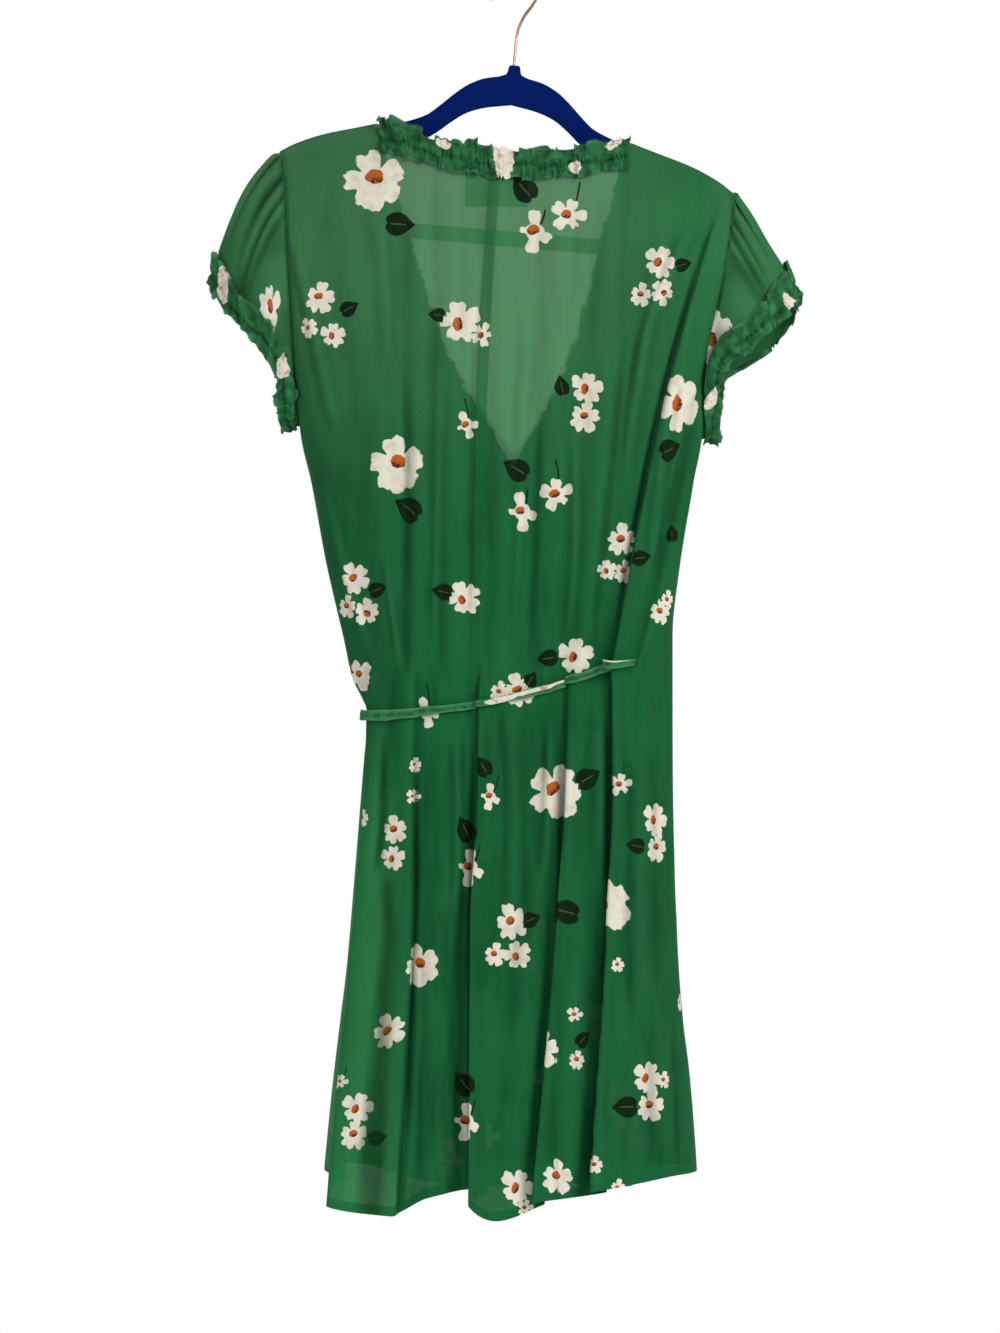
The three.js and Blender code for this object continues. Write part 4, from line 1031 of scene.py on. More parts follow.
FLOCK = PlainFinish("navy_flock", (0.002, 0.016, 0.145), (0.0008, 0.009, 0.1), 0.95, 2600, 0.0004, sheen=0.01,
                    gloss=0.04)
COPPER_WIRE = PlainFinish("rose_copper", (0.62, 0.42, 0.34), (0.5, 0.33, 0.27), 0.28, 900, 0.00003, 1.0)
LABEL_TAPE = PlainFinish("label_tape", (0.02, 0.1, 0.05), (0.015, 0.08, 0.04), 0.7, 1800, 0.0002,
                         stretch=(1, 1, 4))
THREAD = PlainFinish("green_thread", (0.06, 0.26, 0.12), (0.03, 0.16, 0.07), 0.8, 3000, 0.0001)
FLOOR = PlainFinish("pale_floor", (0.82, 0.82, 0.8), (0.78, 0.78, 0.76), 0.7, 60, 0.0001)


# The print
class Motif(NamedTuple):
    """A motif of the print: its kind, its centre and size in pixels of the photo, its turn in degrees."""

    kind: Kind
    x: float
    y: float
    size: float
    turn: float = 0.0


def of_kind(kind: Kind, *places: tuple) -> list:
    """Motifs of one kind, from the centre, the size and the turn of each."""
    return [Motif(kind, *place) for place in places]


BACK_MOTIFS = (
    *of_kind(
        Kind.FLOWER,
        (377, 180, 62, -5), (400, 465, 58, -12), (680, 402, 56, 75), (360, 675, 30, 10),
        (556, 790, 56, 30), (605, 905, 56, 65), (421, 965, 40),
    ),
    *of_kind(
        Kind.BLOSSOM,
        (320, 298, 30), (308, 328, 20, 40), (333, 335, 24, 80), (460, 322, 42, 90), (660, 262, 32, 60),
        (641, 295, 22), (663, 292, 25, 200), (587, 388, 32, 70), (585, 417, 30), (622, 540, 30, 10),
        (607, 570, 20, 90), (625, 572, 22), (355, 578, 30, 40), (347, 607, 22), (367, 612, 26, 150),
        (463, 598, 34, 100), (661, 612, 24), (575, 656, 36, 80), (519, 690, 32, 30), (500, 692, 20),
        (415, 765, 14), (655, 820, 32, 60), (657, 848, 28), (362, 818, 16), (395, 830, 26, 20),
        (393, 858, 24, 80), (512, 922, 34, 30), (495, 955, 22), (517, 955, 28, 100), (618, 965, 14),
        (389, 1031, 32, 40), (543, 1050, 34, 10), (577, 1060, 18), (647, 1078, 32, 60), (664, 1080, 16),
        (650, 1106, 30), (357, 1108, 30, 70), (354, 1135, 28, 10), (517, 1187, 34, 60), (558, 1177, 32),
        (595, 1165, 16), (618, 1188, 16), (668, 600, 18), (682, 1003, 16),
    ),
    *of_kind(
        Kind.SIDE,
        (568, 216, 36), (482, 335, 24, 60), (556, 495, 34, 20), (413, 797, 16), (620, 785, 24, 10),
        (575, 1015, 16), (340, 1082, 16), (525, 1208, 18),
    ),
    *of_kind(
        Kind.DROOP,
        (535, 232, 40), (467, 425, 26, 30), (523, 512, 36, 10), (427, 713, 28, 20), (490, 797, 24),
        (470, 868, 34), (467, 1122, 34),
    ),
    *of_kind(
        Kind.LEAF,
        (398, 224, 34, -5), (525, 190, 34, 130), (348, 309, 22, 30), (438, 315, 20, 175),
        (682, 265, 20, 15), (562, 387, 22, 100), (410, 510, 36, 150), (518, 470, 32, 150),
        (670, 450, 32, 20), (640, 558, 22, 10), (376, 590, 22, 20), (443, 592, 24, 170),
        (672, 535, 18, 90), (549, 658, 24, 190), (530, 681, 20, 60), (484, 768, 24, 120),
        (587, 779, 30, 30), (637, 846, 22, 170), (466, 831, 30, 120), (567, 912, 34, 165),
        (530, 920, 22, 20), (582, 1040, 22, 40), (627, 1107, 30, 180), (465, 1085, 30, 130),
        (376, 1138, 22, 10),
    ),
)
SLEEVE_MOTIFS = (
    Motif(Kind.FLOWER, 709, 338, 56, 60),
    Motif(Kind.BLOSSOM, 272, 308, 42),
    Motif(Kind.SIDE, 790, 300, 16),
)
REPEAT = (292.0, 239.0)  # of the print on the hidden cloth, across and up, in millimetres
CELL_MOTIFS = (  # one repeat, in millimetres of it; sizes in pixels as above
    *of_kind(
        Kind.FLOWER,
        (40, 200, 60, 20), (26, 36, 56, 50),
    ),
    *of_kind(
        Kind.BLOSSOM,
        (262, 110, 32, 60), (246, 82, 22), (266, 84, 26, 200), (106, 64, 40, 90), (208, 20, 32, 70),
        (206, 46, 30), (116, 226, 30, 40), (130, 206, 24, 10), (256, 222, 20),
    ),
    *of_kind(
        Kind.SIDE,
        (206, 168, 34), (126, 50, 24, 60),
    ),
    *of_kind(
        Kind.DROOP,
        (176, 150, 38),
    ),
    *of_kind(
        Kind.LEAF,
        (62, 166, 34), (168, 188, 32, 130), (281, 108, 22, 15), (86, 70, 22, 175), (186, 24, 22, 100),
        (36, 5, 34, 150),
    ),
)


@dataclass(frozen=True)
class Eye:
    """The camera, square to the dress's back as in the photo."""

    away: float = 4500.0  # from the plane on which the photo was measured
    plane: float = -25.0  # that plane's place
    x: float = (500 - PHOTO_CENTRE_X) * PIXEL
    z: float = -(666.5 - PHOTO_TOP) * PIXEL
    frame_height: float = 1333 * PIXEL
    sensor: float = 36.0

    def seen(self, points: np.ndarray) -> np.ndarray:
        """Where points show in the photo, in millimetres on its plane, as x and z."""
        scale = self.away / (self.away + points[..., 1] - self.plane)
        x, z = self.x + (points[..., 0] - self.x) * scale, self.z + (points[..., 2] - self.z) * scale
        return np.stack([x, z], -1)

    def build(self) -> None:
        """Makes the scene's camera."""
        data = bpy.data.cameras.new("photo_camera")
        data.sensor_width = self.sensor
        data.lens = self.sensor * self.away / self.frame_height
        data.clip_end = 50
        camera = bpy.data.objects.new("photo_camera", data)
        camera.location = (self.x * MM, (self.plane - self.away) * MM, self.z * MM)
        camera.rotation_euler = (math.radians(90), 0, 0)
        bpy.context.scene.collection.objects.link(camera)
        bpy.context.scene.camera = camera


EYE = Eye()


def photo_place(motif: Motif) -> np.ndarray:
    """A motif's centre on the photo's plane, as x and z in millimetres."""
    return np.array([(motif.x - PHOTO_CENTRE_X) * PIXEL, -(motif.y - PHOTO_TOP) * PIXEL])


@dataclass(frozen=True)
class Printer:
    """Puts motifs on a grid of cloth: for each quad's corners, the place within its nearest motif."""

    reach: float = 2.1  # sizes of a motif that its stem may leave it by

    def corners(self, u: np.ndarray, v: np.ndarray, marks: Sequence[tuple], ring: bool = False) -> np.ndarray:
        """Works out the corners' places.

        Args:
            u: Distance across the cloth of each point of the grid.
            v: Distance up the cloth of each point.
            marks: Motifs as kind, centre u, centre v, half size and turn in radians.
            ring: Whether the grid's columns close on themselves.

        Returns:
            Rows by columns by four corners by place and kind.
        """
        def quads(grid: np.ndarray) -> np.ndarray:
            """A grid's values at the four corners of each quad."""
            after = np.concatenate([grid[:, 1:], 2 * grid[:, -1:] - grid[:, -2:-1]], 1) if ring else grid[:, 1:]
            here = grid if ring else grid[:, :-1]
            return np.stack([here[:-1], after[:-1], after[1:], here[1:]], -1)

        uu, vv = quads(u), quads(v)
        found = np.full((*uu.shape, 3), 9.0)
        nearest = np.full(uu.shape[:2], self.reach)
        for kind, mark_u, mark_v, half, turn in marks:
            du, dv = (uu - mark_u) / half, (vv - mark_v) / half
            x, y = du * math.cos(turn) + dv * math.sin(turn), dv * math.cos(turn) - du * math.sin(turn)
            far = np.hypot(x.mean(-1), y.mean(-1))
            limit = self.reach if kind in (Kind.SIDE, Kind.DROOP) else 1.25
            closer = (far < nearest) & (far < limit)
            nearest[closer] = far[closer]
            found[closer] = np.stack([x, y, np.full(x.shape, kind.value)], -1)[closer]
        return found

    def seen_marks(self, points: np.ndarray, u: np.ndarray, v: np.ndarray, motifs: Sequence[Motif]) -> list:
        """Finds where motifs of the photo lie on a grid, at its visible point in their place."""
        seen = EYE.seen(points)
        marks = []
        for motif in motifs:
            place = photo_place(motif)
            far = np.linalg.norm(seen - place, axis=-1)
            half = motif.size * PIXEL / 2 * (1.12 if motif.size < 50 else 1.04)
            if far.min() > half * 1.3:
                continue
            near = far < far.min() + 2.0
            depth = np.where(near, points[..., 1], np.inf)
            r, c = np.unravel_index(np.argmin(depth), depth.shape)
            off = place - seen[r, c]
            side = 1.0 if u[r, -1] > u[r, 0] and points[r, -1, 0] > points[r, 0, 0] else -1.0
            turn = math.radians(motif.turn)
            marks.append((motif.kind, u[r, c] + off[0] * side, v[r, c] + off[1], half, turn))
        return marks

    def repeated_marks(self, u: np.ndarray, v: np.ndarray, shift: tuple) -> list:
        """Covers a grid with the repeat of the print, shifted by distances across and up."""
        marks = []
        for i in range(int((u.min() - shift[0]) // REPEAT[0]), int((u.max() - shift[0]) // REPEAT[0]) + 1):
            for j in range(int((v.min() - shift[1]) // REPEAT[1]), int((v.max() - shift[1]) // REPEAT[1]) + 1):
                for m in CELL_MOTIFS:
                    at_u = m.x + shift[0] + i * REPEAT[0]
                    at_v = m.y + shift[1] + j * REPEAT[1]
                    marks.append((m.kind, at_u, at_v, m.size * PIXEL / 2, math.radians(m.turn)))
        return marks


# Pieces of the dress
Line = Callable[[np.ndarray], np.ndarray]


@dataclass
class Panel:
    """One cut panel of the bodice or the skirt, between two side lines and two level lines."""

    name: str
    layer: Layer
    start: Line
    end: Line
    low: Line
    high: Line
    step: float = 1.9  # between points of its grid, in millimetres
    turn: float = 0.0  # how far below the high line the cloth turns down
    thick: float = 0.5
    shift: tuple = (0.0, 0.0)  # of the print's repeat, where the photo doesn't show the panel
    middle: float = -800.0  # height at which its width is measured
    tall: float = 455.0  # about how long it hangs
    slack: float = 1.12  # more columns than its straight width asks for, for the folds
    # how dark the painted shade in its hollows is
    hollows: float = 1.0  # how dark its hollows are

    def grid(self, form: DressForm) -> tuple:
        """Shares and heights of its grid, from the high line down."""
        middle = np.array([self.middle])
        ends = form.across(np.clip(np.stack([self.start(middle), self.end(middle)]), -1, 1), middle)
        cols = int(abs(float(ends[1] - ends[0])) * self.slack / self.step) + 2
        rows = int(self.tall / self.step)
        u = np.linspace(0, 1, cols)

        def share_of(z: np.ndarray) -> np.ndarray:
            """Shares of the columns at their heights."""
            return np.clip(mix(self.start(z), self.end(z), u), -1, 1)

        def height(line: Line) -> np.ndarray:
            """Heights of a level line at the columns, which themselves shift with the height."""
            z = line(np.zeros(cols))
            for _ in range(6):
                z = line(form.across(share_of(z), z))
            return z

        bottom, top = height(self.low), height(self.high)
        climbs = np.linspace(1, 0, rows)
        z = bottom + (top - self.turn - bottom) * climbs[:, None]
        if self.turn:
            turns = np.array([1.0, 0.6, 0.25])
            z = np.concatenate([top - self.turn * (1 - turns[:, None]), z])
        return np.clip(mix(self.start(z), self.end(z), u), -1, 1), z

    def glow(self, form: DressForm, points: np.ndarray, z: np.ndarray) -> np.ndarray:
        """How much painted light the cloth's colour takes: light from within, most where it lies single or below the
        front's hem, and more on the upper back and the lower left.
        """
        if self.layer is not Layer.BACK:
            return np.full(z.shape, 0.15)
        x = points[..., 0]
        right, left = form.wraps.column(z, "right"), form.wraps.column(z, "left")
        inside = ease((right - x) / 9) * ease((x - left) / 9) * ease((z + 440) / 14)
        below_front = ease((form.hem.column(x, "front") - z) / 8)
        upper = 0.06 * ease((z + 640) / 60) + 0.26 * ease((z + 470) / 220)
        side = 0.6 * ease((-90 - x) / 24) * ease((-640 - z) / 120)
        return np.clip(inside + 0.2 * below_front + upper + side, 0, 1)

    def build(self, form: DressForm, printer: Printer, finish: bpy.types.Material) -> bpy.types.Object:
        share, z = self.grid(form)
        points = form.cloth(self.layer, share, z)
        normals = form.normal(self.layer, share, z)
        across = lengths_across(points)
        column = across.shape[1] // 2
        across = across - across[:, column : column + 1] + points[:, column : column + 1, 0]
        if self.layer is Layer.BACK:
            marks = printer.seen_marks(points, across, z, BACK_MOTIFS)
        else:
            marks = printer.repeated_marks(across, z, self.shift)
        hem = z - z[-1:] if not self.turn else np.full(z.shape, 60.0)
        seam = np.minimum(across - across[:, :1], across[:, -1:] - across)
        cloth = np.stack([across, z, np.minimum(hem, seam + 3.5)], -1) * MM
        # masks for painted shade in the hollows and a painted highlight on the ridges
        hollow_shade, ridge_highlight = relief_of(points[..., 1] * self.layer.side, self.step)
        light = np.stack([self.glow(form, points, z), hollow_shade * self.hollows, ridge_highlight], -1)
        thing = wall(self.name, points, self.thick, normals=normals, corners=printer.corners(across, z, marks),
                     verts={"cloth": cloth, "light": light})
        thing.data.materials.append(finish)
        dress(thing, self.name, "printed_cloth")
        return thing


def dress(thing: bpy.types.Object, node: str, slot: str) -> None:
    """Lets a finished piece stand for its solid and ride with the body; the slot's name only picks whether the piece's
    name ends in _cloth or _shell.
    """
    thing.name = f"{node}_cloth" if "cloth" in slot else f"{node}_shell"
    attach(thing, BODY)
    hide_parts(node)
    log.info("%s: %d faces", thing.name, len(thing.data.polygons))


class Side(Enum):
    """The wearer's sides: their way out along X and the share of their seam."""

    LEFT = -1
    RIGHT = 1

    @property
    def word(self) -> str:
        """The side's name in a node's name."""
        return self.name.lower()


CUFFS = {
    Side.LEFT: (
        CuffPoint(0, -262, -272, -262, -272),
        CuffPoint(0.25, -241, -303, -238, -300),
        CuffPoint(0.5, -214, -332, -210, -328),
        CuffPoint(0.75, -200, -366, -198, -362),
        CuffPoint(1, -196, -398, -196, -398),
    ),
    Side.RIGHT: (
        CuffPoint(0, 246, -282, 246, -282),
        CuffPoint(0.25, 230, -303, 237, -309),
        CuffPoint(0.5, 201, -329, 208, -336),
        CuffPoint(0.63, 179, -346, 182, -352),
        CuffPoint(0.8, 173, -374, 174, -378),
        CuffPoint(1, 173, -408, 173, -408),
    ),
}


@dataclass
class Sleeve:
    """A cap sleeve with a gathered head. turn is 0 at the shoulder tip and runs down the back."""

    side: Side
    form: DressForm
    puff: tuple
    belly: tuple
    half_depth: float = 30.0
    bend: float = 0.35
    gap: float = 0.3
    gathers: float = 3.0
    reach: float = math.radians(70)
    turns: int = 300
    rows: int = 52

    def armhole(self, turn: np.ndarray) -> np.ndarray:
        """Points of the armhole's edge."""
        f, out = self.form, self.side.value
        tip, under = (f.left_tip, f.left_under) if out < 0 else (f.right_tip, f.right_under)
        z = (tip + under) / 2 + (tip - under) / 2 * np.cos(turn)
        share = np.full(z.shape, float(out))
        front, back = f.base(Layer.FRONT_RIGHT, share, z), f.base(Layer.BACK, share, z)
        points = np.where((np.sin(turn) < 0)[..., None], front, back)
        points[..., 0] += out * self.gap
        return points

    def cuff(self, turn: np.ndarray) -> np.ndarray:
        """Points of the cuff's edge."""
        table = Table(CUFFS[self.side])
        down = np.arccos(np.clip(np.cos(turn), -1, 1)) / np.pi
        back = np.sin(turn) > 0
        x = np.where(back, table.column(down, "back_x"), table.column(down, "front_x"))
        z = np.where(back, table.column(down, "back_z"), table.column(down, "front_z"))
        return np.stack([x, -self.half_depth * np.sin(turn), z], -1)

    def base(self, turn: np.ndarray, down: np.ndarray) -> np.ndarray:
        """Points of the sleeve without its gathers; down is 0 at the armhole and 1 at the cuff."""
        turn, down = np.broadcast_arrays(turn, down)
        top, middle = np.maximum(0, np.cos(turn)) ** 1.5, np.abs(np.sin(turn))
        start, end = self.armhole(turn), self.cuff(turn)
        knee = mix(start, end, self.bend)
        knee[..., 0] += self.puff[0] * top + self.belly[0] * middle
        knee[..., 1] -= self.belly[1] * np.sin(turn)
        knee[..., 2] += self.puff[1] * top
        t = np.clip(down, 0, 1)[..., None]
        return start * (1 - t) ** 2 + 2 * knee * t * (1 - t) + end * t**2

    def frame(self, turn: np.ndarray, down: np.ndarray) -> tuple:
        """Outward normals, and the way down the sleeve."""
        t = np.clip(down, 0, 0.96)
        around = self.base(turn + 0.02, t) - self.base(turn - 0.02, t)
        along = unit(self.base(turn, t + 0.04) - self.base(turn, t))
        return unit(np.cross(around, along)) * self.side.value, along

    def surface(self, turn: np.ndarray, down: np.ndarray) -> np.ndarray:
        """Points of the gathered cloth."""
        turn, down = np.broadcast_arrays(turn, down)
        away = np.minimum(turn, 2 * np.pi - turn) / self.reach
        fade = ease((1 - away) * 2.2) * np.clip(1 - down / 0.8, 0, 1) ** 0.8 * ease(down / 0.05)
        pleat = np.sin(away * 30 + 1.6 * np.sin(away * 9) + 2.2 * self.side.value + down * 1.5)
        broad = np.sin(turn * 5 + 1.0) * ease(down * 1.5) * 1.2 + np.sin(turn * 9 + down * 3 + 0.6) * 0.8
        point = self.base(turn, down)
        rough = self.form.soft.at(point[..., 0], point[..., 2]) * 0.5
        inner = ease(down / 0.12) * (1 - ease((down - 0.8) / 0.2) * 0.6)
        lift = self.gathers * fade * pleat + (broad + rough) * inner
        return point + self.frame(turn, down)[0] * lift[..., None]

    def build(self, printer: Printer, finish: bpy.types.Material) -> bpy.types.Object:
        turn = np.linspace(0, 2 * np.pi, self.turns, endpoint=False)[None, :]
        rows = np.linspace(0, 1, self.rows)[:, None]
        points = self.surface(turn, rows)
        around = lengths_across(points)
        drops = np.linalg.norm(np.diff(points, axis=0), axis=-1)
        down = np.concatenate([np.zeros((1, self.turns)), np.cumsum(drops, 0)])
        quarter = self.turns // 4
        half_way = self.rows // 2
        u = (around - around[:, quarter : quarter + 1]) * self.side.value * -1 + points[half_way, quarter, 0]
        v = points[half_way, quarter, 2] + down[half_way] - down
        marks = printer.seen_marks(points, u, v, SLEEVE_MOTIFS)
        cloth = np.stack([u, v, np.minimum(down[-1:] - down, down + 4)], -1) * MM
        name = f"sleeve_{self.side.word}"
        off = np.einsum("ijk,ijk->ij", points - self.base(turn, rows), self.frame(turn, rows)[0])
        # painted light: an even glow, shade in the hollows of the gathers and a highlight on their ridges
        light = np.stack([0.5 + 0 * off, np.clip(-off / 2.8, 0, 1), np.clip(off / 2.4, 0, 1)], -1)
        thing = wall(name, points, 0.5, ring=True, corners=printer.corners(u, v, marks, True),
                     verts={"cloth": cloth, "light": light})
        thing.data.materials.append(finish)
        dress(thing, name, "printed_cloth")
        return thing


class Patch(NamedTuple):
    """A white patch of the print on a strip: its place and half size along it and across it."""

    at: float
    half: float
    across: float = 0.0
    wide: float = 2.5
    strength: float = 1.1

    def over(self, t: np.ndarray, across: np.ndarray) -> np.ndarray:
        """How strong the patch is at places along and across the strip."""
        far = ((t - self.at) / self.half) ** 2 + ((across - self.across) / self.wide) ** 2
        return self.strength * np.exp(-0.7 * far)


class Peak(NamedTuple):
    """A place where a ruffle's edge stands up: where along it, its half length, extra reach and lift."""

    at: float
    half: float
    reach: float
    lift: float


@dataclass
class Ruffle:
    """A strip gathered along its middle, with both edges raw, wavy and frayed."""

    name: str
    waves: float
    up: float
    down: float
    depth: float
    clear: float
    length: float
    surface: Callable[[np.ndarray, np.ndarray, np.ndarray], np.ndarray]
    ring: bool = False
    patches: tuple = ()
    peaks: tuple = ()
    carrier: str = "bodice_back_left"
    seed: int = 0
    rows: int = 23
    step: float = 0.75
    stitch: float = -0.15  # of the gathers, across the strip

    def grid(self) -> tuple:
        """Points of the strip, and its cloth attribute: patch, distance to a raw edge, and the painted shade of its
        pleats.
        """
        cols = int(self.length / self.step)
        t = np.linspace(0, 1, cols, endpoint=not self.ring)[None, :]
        across = np.linspace(1, -1, self.rows)[:, None]
        source = np.random.default_rng(SEED + self.seed)
        shift = source.uniform(0, 6.3, 8)
        whole = np.round if self.ring else (lambda value: value)

        def wave(cycles: float, n: int) -> np.ndarray:
            """A wave along the strip, with one of the drawn shifts."""
            return np.sin(2 * np.pi * whole(cycles) * t + shift[n])

        phase = 2 * np.pi * whole(self.waves) * t + 1.1 * wave(5, 0) + 0.7 * wave(self.waves * 0.37, 1)
        size = 0.75 + 0.3 * wave(self.waves * 0.61, 2) + 0.2 * wave(self.waves * 0.23, 3)
        edge = np.abs(across)
        from_stitch = np.abs(across - self.stitch - 0.12 * wave(4.3, 2) - 0.07 * wave(11.7, 3))
        uneven = 0.55 + 0.3 * wave(6.1, 4) + 0.25 * wave(13.7, 5)
        cycles = 0.1 * self.length
        fold = (0.5 + 0.5 * np.sin(phase + 0.9 * np.sign(across))) ** 1.3
        fine = np.sin(phase * 3 + 2.0 * wave(self.waves * 0.8, 4) + 2.5 * across)
        lift = 1.1 + self.clear + 2 * self.depth * size * fold * (0.12 + edge**0.9)
        groove = np.exp(-((from_stitch / 0.1) ** 2))
        tucks = np.exp(-((from_stitch / 0.3) ** 2)) * (1 - 0.6 * groove)
        gathers = np.sin(2 * np.pi * whole(cycles * 1.7) * t + 2.5 * wave(self.waves, 4) + 3 * across) * uneven
        frill = np.sin(2 * np.pi * whole(cycles) * t + 2.8 * wave(self.waves * 0.7, 6) + 1.2 * np.sign(across))
        frill = frill * (1.3 - uneven)
        lift = lift + 0.4 * fine * (1.1 - edge) - 1.3 * groove + 1.2 * gathers * tucks + 1.4 * frill * edge**2
        lift = lift + self.depth * 0.9 * edge**3 * wave(self.waves * 0.83, 5)
        reach = np.where(across > 0, self.up, self.down) * across
        reach = reach * (0.97 + 0.1 * wave(self.waves * 0.43, 6) + 0.07 * wave(self.waves * 1.1, 7))
        reach = reach * (1 + 0.1 * edge**3 * np.roll(frill, 3, axis=1))
        for peak in self.peaks:
            local = np.exp(-(((t - peak.at) / peak.half) ** 2)) * np.maximum(across, 0) ** 1.5
            reach = reach + peak.reach * local
            lift = lift + peak.lift * local
        slide = 0.16 * np.cos(phase + 0.9 * np.sign(across)) * edge / self.waves
        lift = np.maximum(lift, 0.9 + self.clear * 0.4)
        points = self.surface(np.broadcast_to(t + slide, lift.shape), reach, lift)
        patch = np.zeros(lift.shape)
        for white in self.patches:
            patch = np.maximum(patch, white.over(t, across))
        free = (1 - edge) * np.where(across > 0, self.up, self.down) * MM
        # painted shade in the stitched groove, the tucks and the folds, and towards the raw edges where the frill dips
        pleat = groove * (0.6 - 0.5 * gathers) + tucks * (0.5 - 0.5 * gathers) * 0.8 + (1 - fold) * 0.5
        pleat = pleat + 0.4 * edge**2 * (1 - frill)
        return points, np.stack(np.broadcast_arrays(patch, free, pleat), -1)

    def build(self, finish: bpy.types.Material, threads: "ThreadRow") -> bpy.types.Object:
        points, cloth = self.grid()
        thing = wall(self.name, points, 0.55, ring=self.ring, verts={"cloth": cloth})
        thing.data.materials.append(finish)
        edges = ((0, 1), (-1, -2))  # each raw edge's row, and the next one inwards
        rows = [(points[row], unit(points[row] - points[inner]), self.ring) for row, inner in edges]
        fringe = threads.build(f"{self.name}_fray", rows, spacing=0.9, length=1.9, radius=0.09, spread=0.6)
        middle = self.rows // 2
        seam = points[middle] + grid_normals(points)[middle] * 0.32 * self.outward(points)
        tangent = unit(np.gradient(seam, axis=0))
        stitches = threads.build(f"{self.name}_stitches", [(seam, tangent, self.ring)], spacing=2.4, length=1.9,
                                 radius=0.16, spread=0.04)
        area = area_of(points) * MM * MM
        wide = (self.up + self.down) * MM
        dress(thing, self.name, "ruffle_cloth")
        area / wide
        return thing

    @staticmethod
    def outward(points: np.ndarray) -> float:
        """1 where a grid's normals point away from the dress's middle, or -1."""
        middle = points.mean((0, 1))
        middle[1] = 0
        away = points - np.array([-5.0, 0.0, middle[2]])
        return float(np.sign((grid_normals(points)[..., 1] * away[..., 1]).sum()) or 1.0)


